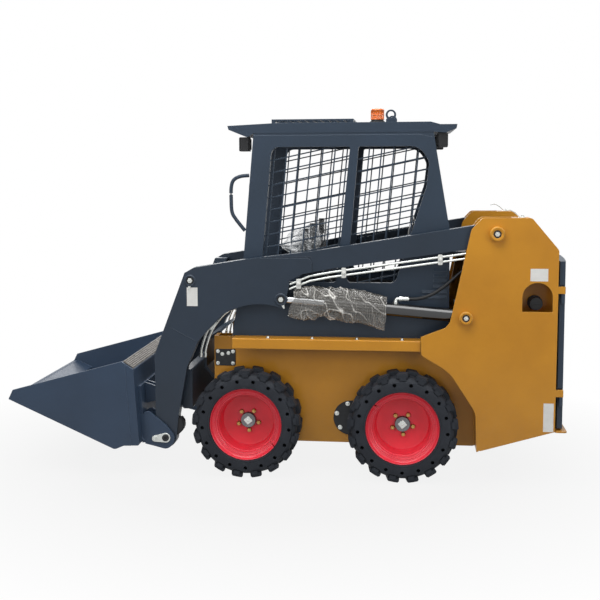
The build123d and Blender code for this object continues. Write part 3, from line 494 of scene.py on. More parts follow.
# %% The lugs, bent round the tread


def block(shape, centre, size, bevel=2.0, matrix=None):
    """A block with rounded edges, its size along X, Y and Z, turned by a matrix if given."""
    made = bmesh.ops.create_cube(shape, size=1)["verts"]
    for vert in made:
        vert.co = Vector(vert.co[i] * size[i] for i in range(3))
    edges = list({edge for vert in made for edge in vert.link_edges})
    grown = bmesh.ops.bevel(
        shape, geom=edges, offset=bevel, segments=2, affect="EDGES", clamp_overlap=True)
    corners = {vert for face in grown["faces"] for vert in face.verts} | {
        vert for vert in made if vert.is_valid}
    for vert in corners:
        vert.co = (matrix @ vert.co if matrix else vert.co) + Vector(centre)


def flat_block(width, reach, height, bevel, cuts):
    """A bevelled block at the origin, sliced across its width so that it can bend."""
    shape = bmesh.new()
    block(shape, (0, 0, 0), (width, reach, height), bevel)
    for x in cuts:
        whole = shape.verts[:] + shape.edges[:] + shape.faces[:]
        bmesh.ops.bisect_plane(shape, geom=whole, plane_co=(x, 0, 0), plane_no=(1, 0, 0))
    return shape


def bend_onto_tread(target, template, angle, axial, radial, slant, taper):
    """Copy a flat block onto the tread: X runs round it, Y across it, Z outward."""
    copies = {}
    for vert in template.verts:
        narrow = 1 - taper * max(0, vert.co.z)
        across = vert.co.x * narrow
        around = angle + (across + slant * vert.co.y) / TYRE_RADIUS
        radius = radial + vert.co.z
        copies[vert] = target.verts.new((
            radius * math.cos(around), radius * math.sin(around), axial + vert.co.y))
    for face in template.faces:
        target.faces.new([copies[vert] for vert in face.verts])


lug = flat_block(66, 80, 26, 4.5, (-20, 0, 20))
foot = flat_block(40, 13, 24, 3, (0,))
for side in (1, -1):
    for tooth in range(LUGS):
        half = 0 if side > 0 else 0.5
        lug_angle = -math.pi / 2 + math.tau * (tooth + half) / LUGS
        bend_onto_tread(
            carcass, lug, lug_angle, side * (TYRE_HALF - 8 - 40), LUG_TOP - 13, 0.16 * side, 0.006)
        bend_onto_tread(carcass, foot, lug_angle, side * (TYRE_HALF - 8), 267, 0, 0)
lug.free()
foot.free()
print("tyre", len(carcass.faces), "faces")

# %% One tyre to each wheel
FRONT_AXLE_X, REAR_AXLE_X, AXLE_Z = 190, -645, 292
TYRE_MIDDLE_Y = 482.5
wheels = [
    (end, hand, axle_x, side)
    for end, axle_x in (("front", FRONT_AXLE_X), ("rear", REAR_AXLE_X))
    for hand, side in HANDS]
for end, hand, axle_x, side in wheels:
    copy = carcass.copy()
    place = Matrix.Translation((axle_x, side * TYRE_MIDDLE_Y, AXLE_Z))
    lay_flat = Matrix.Rotation(-side * math.pi / 2, 4, "X")
    turn_lug_down = Matrix.Rotation(0 if side > 0 else math.pi, 4, "Z")
    bmesh.ops.transform(copy, matrix=place @ lay_flat @ turn_lug_down, verts=copy.verts)
    tyre = make_piece(
        f"tyre_{end}_{hand}_fine", copy, tyre_rubber, f"wheel_{end}_{hand}", 30)
    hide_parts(f"tyre_{end}_{hand}")
carcass.free()
print("four tyres")

# %% [markdown]
# ## Wheel centres
# Each red rim is held by five plated nuts on studs, round a grey steel hub whose end is turned
# flat and carries a square boss. Nuts are turned parts with six sides and a conical seat.

# %% Hub ends and nuts
DISC_FACE_Y = 443
NUT_RING = 57.5
hub_steel = bare_metal(
    "turned_steel_oiled", "#7d7f81", "#5f6163", roughness=0.42, mottle_mm=20, bump=0.05)
brass_nut = bare_metal(
    "yellow_zinc_nut", "#c9a86a", "#9a7a48", roughness=0.32, mottle_mm=5, bump=0.1)
for end, hand, axle_x, side in wheels:
    facing = (0, side, 0)
    hub = bmesh.new()
    hub_place = standing((axle_x, side * (DISC_FACE_Y + 0.3), AXLE_Z), facing)
    turned_part(hub, [
        (42, 0), (42, 5), (40, 7), (40, 24), (38.5, 25.6), (31, 25.6), (30, 24.6), (0, 24.6)],
        hub_place, 48)
    make_piece(f"hub_end_{end}_{hand}", hub, hub_steel, f"wheel_{end}_{hand}")
    boss = bmesh.new()
    block(boss, (axle_x, side * (DISC_FACE_Y + 26.8), AXLE_Z), (36, 5, 36), 1.2,
          Matrix.Rotation(0.7, 4, "Y"))
    turned_part(boss, [(6, 28), (6, 30.5), (4, 31.5), (0, 31.5)], hub_place, 16)
    make_piece(f"hub_boss_{end}_{hand}", boss, zinc_plate, f"wheel_{end}_{hand}")
    nuts = bmesh.new()
    for stud in range(5):
        angle = math.pi / 2 + 0.55 + math.tau * stud / 5
        centre = (axle_x + NUT_RING * math.cos(angle), side * DISC_FACE_Y,
                  AXLE_Z + NUT_RING * math.sin(angle))
        nut_place = standing(centre, facing, stud)
        turned_part(nuts, [(13.5, 0), (12, 4), (12.2, 4)], nut_place, 20)
        turned_part(nuts, [(12.2, 3), (12.2, 15), (10.4, 17.5), (0, 17.5)], nut_place, 6)
        turned_part(nuts, [(6, 17), (6, 25), (5, 26), (0, 26)], nut_place, 14)
    make_piece(f"wheel_nuts_{end}_{hand}", nuts, brass_nut, f"wheel_{end}_{hand}")
print("hubs and nuts")

# %% [markdown]
# ## The film round the lift cylinder
# The new cylinder is still wrapped in bubble film: a flattened, crackling sleeve with sharp
# creases that flash white. A cloth simulation would crumple it differently on every change, so
# the sleeve is drawn: its top and bottom edges follow the picture, and ridged noise, squeezed
# along a few gathers, folds it. A vertex attribute marks the creases, and the material paints a
# white highlight along them and a faint one on each bubble's dome.

# %% The film's finish
BUBBLE_MM = 12
CRACKLE_MM = 70
bubble_film, film_tree, film_shader, film_place = new_finish("polythene_bubble_film")
crease_highlight = add_node(film_tree, "ShaderNodeAttribute", {"attribute_name": "crease_highlight"}, {})
film_unwrapped = add_node(film_tree, "ShaderNodeUVMap", {"uv_map": "film"}, {})
bubbles = add_node(film_tree, "ShaderNodeTexVoronoi", {}, {
    "Vector": film_unwrapped.outputs[0], "Scale": per_metre(BUBBLE_MM), "Randomness": 0.12})
domes = add_node(film_tree, "ShaderNodeMapRange", {}, {
    "Value": bubbles.outputs["Distance"], "From Min": 0.15, "From Max": 0.5,
    "To Min": 1.0, "To Max": 0.0})
crackle = add_node(film_tree, "ShaderNodeTexNoise", {"noise_type": "RIDGED_MULTIFRACTAL"}, {
    "Vector": film_place, "Scale": per_metre(CRACKLE_MM), "Detail": 6.0})
# Painted highlight: the film turns near white along its creases and faintly on each bubble's dome,
# where it would catch the light.
glints = add_node(film_tree, "ShaderNodeMath", {"operation": "MULTIPLY_ADD", "use_clamp": True}, {
    0: domes.outputs[0], 1: 0.2, 2: crease_highlight.outputs["Fac"]})
film_colour = add_node(film_tree, "ShaderNodeMix", BLEND, {
    FACTOR: glints.outputs[0], FIRST: linear("#56524a"), SECOND: linear("#f6f3ec")})
film_tree.links.new(film_colour.outputs[MIXED], film_shader.inputs["Base Color"])
film_cover = add_node(film_tree, "ShaderNodeMapRange", {}, {
    "Value": glints.outputs[0], "To Min": 0.5, "To Max": 1.0})
film_tree.links.new(film_cover.outputs[0], film_shader.inputs["Alpha"])
crackled = add_node(film_tree, "ShaderNodeBump", {}, {
    "Height": crackle.outputs[0], "Strength": 0.5, "Distance": 0.004})
domed = add_node(film_tree, "ShaderNodeBump", {}, {
    "Height": domes.outputs[0], "Strength": 0.55, "Distance": 0.0025,
    "Normal": crackled.outputs[0]})
film_tree.links.new(domed.outputs[0], film_shader.inputs["Normal"])
film_shader.inputs["Roughness"].default_value = 0.14
film_shader.inputs["IOR"].default_value = 1.51
film_shader.inputs["Specular IOR Level"].default_value = 0.9
film_shader.inputs["Coat Weight"].default_value = 0.6
print("film finish ready")

# %% Where the film lies and folds
LIFT_BASE = Vector((-968, 879))
LIFT_EYE = Vector((5, 961))
LIFT_Y = 465
FILM_FRONT, FILM_REAR = 912, 415
BARREL_CLEARANCE = 38.5
HALF_POCKET = 44.5
film_top = [(415, 66), (470, 78), (560, 88), (640, 92), (700, 88), (760, 84), (810, 88), (860, 82),
            (912, 60)]
film_bottom = [(415, -118), (480, -104), (560, -92), (620, -92), (700, -84), (750, -74),
               (790, -96), (850, -106), (912, -98)]


def level_at(table, s):
    """The height in a table of (distance, height) pairs, straight between them."""
    for (s0, h0), (s1, h1) in zip(table, table[1:]):
        if s <= s1:
            t = max(0, min(1, (s - s0) / (s1 - s0)))
            t = t * t * (3 - 2 * t)
            return h0 + (h1 - h0) * t
    return table[-1][1]


def fold_at(s, around):
    """How far the film stands in or out at a point, and how strong the painted highlight on its crease
    is.
    """
    warp = noise.noise(Vector((s / 90, around * 1.1, 3.7)))
    gather = math.exp(-((s - 690) / 70) ** 2) + 0.7 * math.exp(-((s - 800) / 40) ** 2)
    slanted = 1 - abs(math.sin(s / 26 + around * 1.6 + 2.2 * warp))
    broad = 1 - abs(noise.noise(Vector((s / 70 + around * 0.5, around * 0.9, 0.4)))) * 2
    small = 1 - abs(noise.noise(Vector((s / 21, around * 2.6, 8.1)))) * 2
    sharp = 0.25 + 0.75 * min(1, gather)
    height = 9 * slanted ** 3 * sharp + 5 * broad ** 4 + 3.2 * small ** 5 - 5
    # The strength of the painted white highlight along the crease.
    crease_glint = (1.3 * slanted ** 12 * sharp + 1.1 * max(0, broad) ** 22
            + 0.35 * max(0, small) ** 26 - 0.08)
    return height, min(1, max(0, crease_glint))


print("film from", FILM_REAR, "to", FILM_FRONT, "mm along the cylinder")

# %% The sleeve


def film_sleeve():
    """A flattened tube round the barrel, hanging to a thin flap below it."""
    along_steps, around_steps = 230, 132
    axis = (LIFT_EYE - LIFT_BASE).normalized()
    across = Vector((-axis.y, axis.x))
    shape = bmesh.new()
    crease_glints = shape.verts.layers.float.new("crease_highlight")
    unwrap = shape.loops.layers.uv.new("film")
    rows = []
    for i in range(along_steps + 1):
        s = FILM_REAR + (FILM_FRONT - FILM_REAR) * i / along_steps
        top, bottom = level_at(film_top, s), level_at(film_bottom, s)
        row = []
        for k in range(around_steps):
            angle = math.tau * k / around_steps
            rise = math.cos(angle)
            height = top * rise if rise > 0 else -bottom * rise
            swell = 40 - 3 * max(0, -rise) ** 2 * 8
            side = math.copysign(abs(math.sin(angle)) ** 0.8, math.sin(angle)) * max(swell, 9)
            fold, crease_glint = fold_at(s, angle)
            outward = Vector((side, height)).normalized() * fold * 0.72
            lateral = max(-HALF_POCKET, min(HALF_POCKET, side + outward.x))
            lift = height + outward.y
            gap = math.hypot(lateral, lift)
            if gap < BARREL_CLEARANCE:
                lateral, lift = lateral * BARREL_CLEARANCE / gap, lift * BARREL_CLEARANCE / gap
            end_wave = 9 * noise.noise(Vector((angle * 1.2, i / along_steps * 2, 5)))
            run = s + end_wave * (abs(i / along_steps - 0.5) * 2) ** 3
            run += 24 * max(0, -lift / 100) * (i / along_steps) ** 4
            spot = LIFT_BASE + axis * run + across * lift
            vert = shape.verts.new((spot.x, LIFT_Y + lateral, spot.y))
            vert[crease_glints] = crease_glint
            row.append(vert)
        rows.append(row)
    girth = 2 * math.pi * 70 * MM
    for i, (near, far) in enumerate(zip(rows, rows[1:])):
        for k in range(around_steps):
            after = (k + 1) % around_steps
            face = shape.faces.new((near[k], near[after], far[after], far[k]))
            places = ((i, k), (i, k + 1), (i + 1, k + 1), (i + 1, k))
            for loop, (row_at, k_at) in zip(face.loops, places):
                loop[unwrap].uv = (
                    (FILM_FRONT - FILM_REAR) * MM * row_at / along_steps,
                    girth * k_at / around_steps)
    return shape


sleeve = make_piece("film_sleeve", film_sleeve(), bubble_film, "lift_barrel_left", 60)
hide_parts("cylinder_wrap")

# %% [markdown]
# ## Wheel rims
# The rims are spun from steel sheet: a rolled outer lip, a bead seat, two fine grooves and a deep
# well. The CAD rim has the plain cone. A finer profile is spun here, and the valve notch is cut
# through its flange with a boolean, as on the real rim.

# %% Rims with a rolled lip
rim_profile = [
    (196, 396), (196, 566), (195, 569), (192.5, 570), (190, 568.5), (188.5, 565), (187, 560),
    (178, 552), (175, 551), (173, 548), (171, 549.5), (168, 548), (166, 543), (163, 541),
    (161, 542.5), (158.5, 541), (157, 536), (154.5, 531), (152, 530), (150, 527), (149, 520),
    (146.5, 462), (144, 452), (138, 445), (130, 443), (70, 443), (66, 444.5), (36, 444.5),
    (36, 431), (150, 431), (158, 440), (184, 424), (186, 396)]
notch_angles = {"front": -143, "rear": 40}


def rim_with_notch(axle_x, side, angle):
    """Spin the rim, then cut the slot for the valve through its flange."""
    blank_shape = bmesh.new()
    turned_part(
        blank_shape, [*rim_profile, rim_profile[0]], standing((axle_x, 0, AXLE_Z), LEFT), 120)
    bmesh.ops.remove_doubles(blank_shape, verts=blank_shape.verts, dist=0.001)
    if side < 0:
        bmesh.ops.scale(blank_shape, vec=(1, -1, 1), verts=blank_shape.verts)
    bmesh.ops.recalc_face_normals(blank_shape, faces=blank_shape.faces)
    turned = math.radians(angle)
    slot_shape = bmesh.new()
    block(slot_shape,
          (axle_x + 178 * math.cos(turned), side * 560, AXLE_Z + 178 * math.sin(turned)),
          (52, 44, 9), 1, Matrix.Rotation(-turned, 4, "Y"))
    bmesh.ops.recalc_face_normals(slot_shape, faces=slot_shape.faces)
    return cut_away(blank_shape, slot_shape)


for end, hand, axle_x, side in wheels:
    rim = make_piece(
        f"rim_{end}_{hand}_spun", rim_with_notch(axle_x, side, notch_angles[end]), red_enamel,
        f"wheel_{end}_{hand}", 32)
    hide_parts(f"rim_{end}_{hand}")
print("four spun rims")

# %% [markdown]
# ## Pins, bosses and keepers
# Wherever the machine turns, a plated pin ends in a boss: a raised, chamfered ring welded to the
# plate, the pin's hexagonal head with its grease nipple, and in the gap between them a blackened
# disc as painted shade. The same turned ring serves the towers, the elbows and the lift eyes, in
# the colour of the plate that it is on.

# %% Pin ends
WELD_RADIUS = 2.2


def round_bar(shape, points, radius, sides=10, waver=0.0):
    """A round bar or bead along points; waver makes the ripple of a weld."""
    rings = []
    for i, point in enumerate(points):
        ahead_of = points[min(i + 1, len(points) - 1)] - points[max(i - 1, 0)]
        size = radius * (1 + waver * math.sin(i * 2.1))
        matrix = standing(point, ahead_of)
        rings.append([shape.verts.new(matrix @ Vector((
            size * math.cos(math.tau * k / sides), size * math.sin(math.tau * k / sides), 0)))
            for k in range(sides)])
    for near, far in zip(rings, rings[1:]):
        for k in range(sides):
            after = (k + 1) % sides
            shape.faces.new((near[k], near[after], far[after], far[k]))
    shape.faces.new(rings[0])
    shape.faces.new(rings[-1])


def pin_end(name, spot, face_y, side, ring_radius, head_radius, finish, body):
    """A boss ring in the plate's enamel, with a zinc pin head and nipple inside it."""
    x, z = spot
    place = standing((x, side * face_y, z), (0, side, 0))
    ring = bmesh.new()
    turned_part(ring, [
        (ring_radius - 2, -3), (ring_radius, 0), (ring_radius, 2.5), (ring_radius - 3, 6),
        (head_radius + 9, 6), (head_radius + 7, 4.5), (head_radius + 6, 0.5),
        (head_radius + 6, -3)], place, 56)
    angles = [math.tau * k / 80 for k in range(81)]
    bead = [Vector((
        x + ring_radius * math.cos(a), side * (face_y + 0.6), z + ring_radius * math.sin(a)))
        for a in angles]
    round_bar(ring, bead, WELD_RADIUS, 8, 0.22)
    make_piece(f"{name}_ring", ring, finish, body)
    # Painted shade: a thin blackened-steel disc fills the floor of the gap between the ring and the
    # head.
    gap_shade_disc = bmesh.new()
    turned_part(gap_shade_disc, [(head_radius + 7, 0.4), (0, 0.4)], place, 40)
    make_piece(f"{name}_gap", gap_shade_disc, black_steel, body)
    head = bmesh.new()
    turned_part(head, [
        (head_radius, 0.3), (head_radius, 5), (head_radius * 0.88, 7), (head_radius * 0.3, 7),
        (head_radius * 0.26, 6), (0, 6)], place, 6)
    turned_part(head, [(3.6, 5), (3.6, 8), (2.2, 10), (2.6, 12), (1.6, 13.6), (0, 13.6)], place, 14)
    make_piece(f"{name}_head", head, zinc_plate, body, 30)


TOWER_PIN, ELBOW_PIN = (-1121, 1318), (499, 1058)
TOWER_RING_Y, ARM_PLATE_Y, ARM_MIDDLE_Y = 545, 500, 465
pin_ends = (
    ("tower_pin", TOWER_PIN, TOWER_RING_Y, 36.5, 14, ochre_enamel, "chassis", "yellow_paint"),
    ("cylinder_pin", LIFT_BASE, TOWER_RING_Y, 33, 13, ochre_enamel, "chassis", "yellow_paint"),
    ("elbow_pin", ELBOW_PIN, ARM_PLATE_Y, 31, 15, arm_enamel, "lift_arms", "dark_paint"),
    ("lift_pin", LIFT_EYE, ARM_PLATE_Y, 33, 15, arm_enamel, "lift_arms", "dark_paint"))
for hand, side in HANDS:
    for name, spot, face_y, ring_radius, head_radius, finish, body, slot in pin_ends:
        pin_end(f"{name}_{hand}", spot, face_y, side, ring_radius, head_radius, finish, body)
print("pin ends")

# %% Lock tabs, keeper plates and the bucket's pins
PIVOT_X, PIVOT_Z = 639, 195
EAR_FACE_Y = 519


def hexagon_bolt(shape, place, direction, size=12, spin=0.3):
    """A bolt head with its washer: size is the width across the flats."""
    corner = size / math.sqrt(3)
    matrix = standing(place, direction, spin)
    washer = size * 0.95
    turned_part(shape, [(washer, 0), (washer, 1.4), (washer - 0.6, 2), (0, 2)], matrix, 20)
    turned_part(shape, [
        (corner, 1.5), (corner, 2 + size * 0.42), (corner * 0.86, 2 + size * 0.55),
        (0, 2 + size * 0.55)], matrix, 6)


def cut_plate(shape, outline, face_y, thickness, bevel=1.0):
    """A plate from its X and Z corners, with its outer face at face_y, thick towards -Y."""
    outer = [shape.verts.new((x, face_y, z)) for x, z in outline]
    inner = [shape.verts.new((x, face_y - thickness, z)) for x, z in outline]
    sides = [shape.faces.new((outer[i], outer[i - 1], inner[i - 1], inner[i]))
             for i in range(len(outer))]
    front, back = shape.faces.new(outer), shape.faces.new(inner)
    if bevel:
        rim = [edge for edge in front.edges] + [edge for edge in back.edges]
        rim += [edge for face in sides for edge in face.edges if edge not in rim]
        bmesh.ops.bevel(
            shape, geom=list(dict.fromkeys(rim)), offset=bevel, segments=2, affect="EDGES",
            clamp_overlap=True)


def strap_round(near, far, near_radius, far_radius, steps=10):
    """The outline of a strap that is round at both ends, as X and Z corners."""
    run = Vector(far) - Vector(near)
    heading = math.atan2(run.y, run.x)
    corners = []
    for centre, radius, start in ((near, near_radius, heading + math.pi / 2),
                                  (far, far_radius, heading - math.pi / 2)):
        for step in range(steps + 1):
            angle = start + math.pi * step / steps
            corners.append((
                centre[0] + radius * math.cos(angle), centre[1] + radius * math.sin(angle)))
    return corners


for hand, side in HANDS:
    tabs = bmesh.new()
    for (x, z), lean in ((ELBOW_PIN, 0.1), (LIFT_EYE, -0.35)):
        tip = (x + 48 * math.sin(lean), z - 48 * math.cos(lean))
        root = (x + 30 * math.sin(lean), z - 30 * math.cos(lean))
        cut_plate(tabs, strap_round(root, tip, 8, 4), side * 501.5 + 1.5, 3, 0.6)
    make_piece(f"lock_tabs_{hand}", tabs, zinc_plate, "lift_arms")
    keeper = bmesh.new()
    outer = EAR_FACE_Y + 6 if side > 0 else -EAR_FACE_Y - 0.3
    keeper_bolt = (PIVOT_X + 60, PIVOT_Z - 6)
    cut_plate(keeper, strap_round((PIVOT_X, PIVOT_Z), keeper_bolt, 27, 17), outer, 5.7, 1)
    hexagon_bolt(
        keeper, (keeper_bolt[0], side * (EAR_FACE_Y + 6), keeper_bolt[1]), (0, side, 0), 17)
    make_piece(f"keeper_plate_{hand}", keeper, zinc_plate, "bucket")
    pin = bmesh.new()
    pin_place = standing((PIVOT_X, side * (EAR_FACE_Y + 6), PIVOT_Z), (0, side, 0))
    turned_part(pin, [(19, 0), (19, 5), (17, 7), (6, 7), (5, 5.5), (0, 5.5)], pin_place, 36)
    turned_part(pin, [(3.4, 5), (3.4, 8), (2, 12), (0, 12)], pin_place, 12)
    make_piece(f"keeper_pin_{hand}", pin, black_steel, "bucket")
print("tabs and keepers")

# %% [markdown]
# ## Welds, bolts and blank labels
# Plates are joined by fillet welds under the paint: a narrow rippled bead. A round bar whose
# radius ripples gives it. Bolts are turned parts with six sides on a washer. The labels are left
# blank: plain white film on thin stock, less than half a millimetre proud.

# %% Weld beads
ARM_PANEL_Y, BUCKET_SIDE_Y, BUCKET_EDGE_Y = 492.6, 587.6, 590


def straight_run(start, stop, step=9):
    """Points every few millimetres from start to stop."""
    a, b = Vector(start), Vector(stop)
    count = max(2, int((b - a).length / step))
    return [a.lerp(b, i / count) for i in range(count + 1)]


for hand, side in HANDS:
    beads = bmesh.new()
    for start, stop, radius, ripple in (
            ((612, side * (ARM_PLATE_Y + 0.2), 802), (472, side * (ARM_PLATE_Y + 0.2), 730), 2.0, 0.25),
            ((-158, side * ARM_PANEL_Y, 1190), (112, side * ARM_PANEL_Y, 1186), 1.6, 0.2)):
        round_bar(beads, straight_run(start, stop, 4), radius, 8, ripple)
    make_piece(f"arm_welds_{hand}", beads, arm_enamel, "lift_arms")
    seams = bmesh.new()
    side_seam = straight_run((844, side * BUCKET_SIDE_Y, 600), (818, side * BUCKET_SIDE_Y, 196), 4)
    round_bar(seams, side_seam, 1.8, 8, 0.25)
    heel_seam = straight_run((742, side * BUCKET_EDGE_Y, 196), (756, side * BUCKET_EDGE_Y, 212), 3)
    round_bar(seams, heel_seam, 2.6, 8, 0.25)
    make_piece(f"bucket_welds_{hand}", seams, bucket_enamel, "bucket")
print("welds")

# %% Bolts
TUB_SIDE_Y = 379
LEDGE_Y, LEDGE_TOP = 470, 748
COVER_X, COVER_Z, COVER_BOLT_RING = -365, 300, 80
chassis_bolts = bmesh.new()
for side in (1, -1):
    for x, z in ((370, 655), (286, 655), (370, 589), (286, 589), (345, 640), (311, 646)):
        hexagon_bolt(chassis_bolts, (x, side * TUB_SIDE_Y, z), (0, side, 0), 11, x)
    for k in range(6):
        angle = math.tau * k / 6 + 0.3
        hexagon_bolt(chassis_bolts, (
            COVER_X + COVER_BOLT_RING * math.cos(angle), side * TUB_SIDE_Y,
            COVER_Z + COVER_BOLT_RING * math.sin(angle)), (0, side, 0), 13, k)
    for x in (-640, -400, -160, 80):
        hexagon_bolt(chassis_bolts, (x, side * LEDGE_Y, LEDGE_TOP), UP, 13, x)
make_piece("chassis_bolts", chassis_bolts, zinc_plate, "chassis")
print("bolts")

# %% Blank labels
TOWER_PLATE_Y, LABEL_THICK = 520, 0.4
for hand, side in HANDS:
    for name, outline, face, body in (
            (f"arm_label_{hand}", [(517, 1021), (458, 1021), (458, 920), (517, 920)],
             ARM_PLATE_Y, "lift_arms"),
            (f"tower_label_{hand}", [(-1293, 1139), (-1382, 1139), (-1382, 1074), (-1293, 1074)],
             TOWER_PLATE_Y, "chassis"),
            (f"foot_label_{hand}", [(-1372, 436), (-1424, 436), (-1424, 285), (-1372, 285)],
             TOWER_PLATE_Y, "chassis")):
        sheet_shape = bmesh.new()
        outer_y = side * face + (LABEL_THICK if side > 0 else 0.0)
        cut_plate(sheet_shape, outline, outer_y, LABEL_THICK, 0)
        make_piece(name, sheet_shape, label_stock, body)
print("labels")

# %% [markdown]
# ## Stops, straps and pipe clips
# A rubber stop behind each leg's foot keeps the arm off the frame, on a grey strip. The two steel
# pipes along the arm sit in pale nylon clips, and each tower has a bent plated hook on its top.

# %% Rubber stops, clips and hooks


def smooth_line(corners, steps=8):
    """Points of a Catmull-Rom line through the corners."""
    ends = [corners[0], *corners, corners[-1]]
    points = []
    for a, b, c, d in zip(ends, ends[1:], ends[2:], ends[3:]):
        a, b, c, d = Vector(a), Vector(b), Vector(c), Vector(d)
        for step in range(steps):
            t = step / steps
            points.append(0.5 * (
                2 * b + (c - a) * t + (2 * a - 5 * b + 4 * c - d) * t ** 2
                + (3 * b - a - 3 * c + d) * t ** 3))
    return [*points, Vector(corners[-1])]


def bent_strap(shape, points, width, thickness):
    """A flat bar bent along points that share one Y, with its width across Y."""
    across = Vector((0, width / 2, 0))
    rings = []
    for i, point in enumerate(points):
        along = (points[min(i + 1, len(points) - 1)] - points[max(i - 1, 0)]).normalized()
        out = Vector((-along.z, 0, along.x)) * thickness / 2
        rings.append([shape.verts.new(point + corner) for corner in (
            out + across, out - across, -out - across, across - out)])
    faces = [shape.faces.new(rings[0]), shape.faces.new(rings[-1])]
    for near, far in zip(rings, rings[1:]):
        for k in range(4):
            faces.append(shape.faces.new((near[k], near[(k + 1) % 4], far[(k + 1) % 4], far[k])))
    bmesh.ops.recalc_face_normals(shape, faces=faces)


for hand, side in HANDS:
    stop = bmesh.new()
    cut_plate(
        stop, [(580, 300), (566, 306), (548, 292), (541, 268), (544, 240), (560, 218), (586, 200)],
        side * ARM_MIDDLE_Y + 29, 58, 6)
    make_piece(f"leg_stop_{hand}", stop, bumper_rubber, "lift_arms")
    strip = bmesh.new()
    cut_plate(strip, [(592, 304), (577, 304), (588, 206), (600, 206)],
              side * ARM_MIDDLE_Y + 32, 64, 1)
    make_piece(f"stop_strip_{hand}", strip, zinc_plate, "lift_arms")
    clips = bmesh.new()
    for x, z in ((-834, 1180), (-330, 1107), (-90, 1050)):
        drop = 0 if x < -100 else 4
        block(clips, (x, side * 494, z - drop), (24, 17, 54), 2.5)
        hexagon_bolt(clips, (x, side * 502.4, z - drop), (0, side, 0), 11)
    make_piece(f"pipe_clips_{hand}", clips, clip_nylon, "lift_arms")
    hook = bmesh.new()
    hook_y = side * 455
    hook_line = smooth_line([
        (-1245, hook_y, 1398), (-1231, hook_y, 1410), (-1210, hook_y, 1428),
        (-1185, hook_y, 1440), (-1160, hook_y, 1436)], 6)
    bent_strap(hook, hook_line, 26, 4)
    block(hook, (-1250, hook_y, 1401.5), (34, 40, 3), 1)
    hexagon_bolt(hook, (-1254, hook_y, 1403), UP, 13, side)
    make_piece(f"tower_hook_{hand}", hook, zinc_plate, "chassis")
print("stops, clips and hooks")

# %% [markdown]
# ## Leg pipes, grab handles, fuel cap and bucket step
# Steel pipes run down the inner side of each leg to the bucket's couplings. The grab handles are
# one tube, bent cold, so a smooth line is given a round section. The fuel cap is a moulded lid
# whose rim is pressed in between its grips, and a ribbed strip on the bucket's back is the step.

# %% Pipes down the inner side of each leg
for hand, side in HANDS:
    pipes = bmesh.new()
    pipe_y = side * 421
    for offset in (0, 24):
        line = smooth_line([
            (268 + offset, pipe_y, 905 + offset * 0.6), (318 + offset, pipe_y, 872 + offset * 0.5),
            (352 + offset, pipe_y, 836), (396 + offset, pipe_y, 770),
            (424 + offset, pipe_y, 690), (432 + offset, pipe_y, 648)], 8)
        round_bar(pipes, line, 6, 14)
        turned_part(pipes, [(0, 0), (9.5, 0), (9.5, 22), (0, 22)],
                    standing((432 + offset, pipe_y, 650), (0.1, 0, -1)), 6)
    block(pipes, (392, side * 423, 806), (52, 14, 26), 2, Matrix.Rotation(0.9, 4, "Y"))
    make_piece(f"leg_pipes_{hand}", pipes, zinc_plate, "lift_arms")
print("leg pipes")

# %% Grab handles, bent smoothly
handle_corners = [
    (192, 1622), (240, 1617), (276, 1598), (290, 1560),
    (291, 1490), (287, 1425), (266, 1385), (216, 1322)]
for hand, side in HANDS:
    handle = bmesh.new()
    line = smooth_line([(x, side * 372, z) for x, z in handle_corners], 8)
    round_bar(handle, line, 10, 18)
    bar = make_piece(
        f"grab_handle_{hand}_bent", handle, slate_enamel, "chassis", 50)
    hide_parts("grab_handles")
print("grab handles")

# %% Fuel cap with grip ribs
CAP_X, CAP_Z = -1331, 950
cap_shape = bmesh.new()
cap_rings = turned_part(cap_shape, [
    (0, 0), (33, 0), (34, 2), (34, 24), (32.5, 28), (26, 29.5), (24, 27.5), (0, 27.5)],
    standing((CAP_X, 436, CAP_Z), LEFT), 72)
for ring in cap_rings[2:4]:
    for step, vert in enumerate(ring):
        if step % 6 in (0, 1):
            vert.co.x = CAP_X + (vert.co.x - CAP_X) * 0.93
            vert.co.z = CAP_Z + (vert.co.z - CAP_Z) * 0.93
block(cap_shape, (CAP_X, 465, CAP_Z), (44, 9, 12), 3)
make_piece("fuel_cap", cap_shape, black_moulding, "chassis", 30)
print("fuel cap")

# %% Ribbed step on the bucket's back
TOP_FRONT, TOP_REAR = Vector((862.3, 624.2)), Vector((798.0, 581.6))
tread_steel = bare_metal(
    "ribbed_tread_steel_worn", "#6a635a", "#4b4742", roughness=0.5, mottle_mm=16, bump=0.3,
    metallic=0.5)
step_plate = bmesh.new()
along_strip = (TOP_REAR - TOP_FRONT).normalized()
off_strip = Vector((-along_strip.y, along_strip.x))
if off_strip.y < 0:
    off_strip = -off_strip


def on_strip(distance, height):
    """X and Z at a distance down the top strip and a height off it."""
    spot = TOP_FRONT + along_strip * distance + off_strip * height
    return (spot.x, spot.y)


strip_corners = [on_strip(5, 0.2), on_strip(72, 0.2), on_strip(72, 3), on_strip(5, 3)]
cut_plate(step_plate, strip_corners, 572, 1144, 0.8)
for k in range(6):
    x, z = on_strip(11 + 11 * k, 3.4)
    round_bar(step_plate, [Vector((x, 568, z)), Vector((x, -568, z))], 2.6, 10)
make_piece("bucket_step_plate", step_plate, tread_steel, "bucket")
print("step plate")
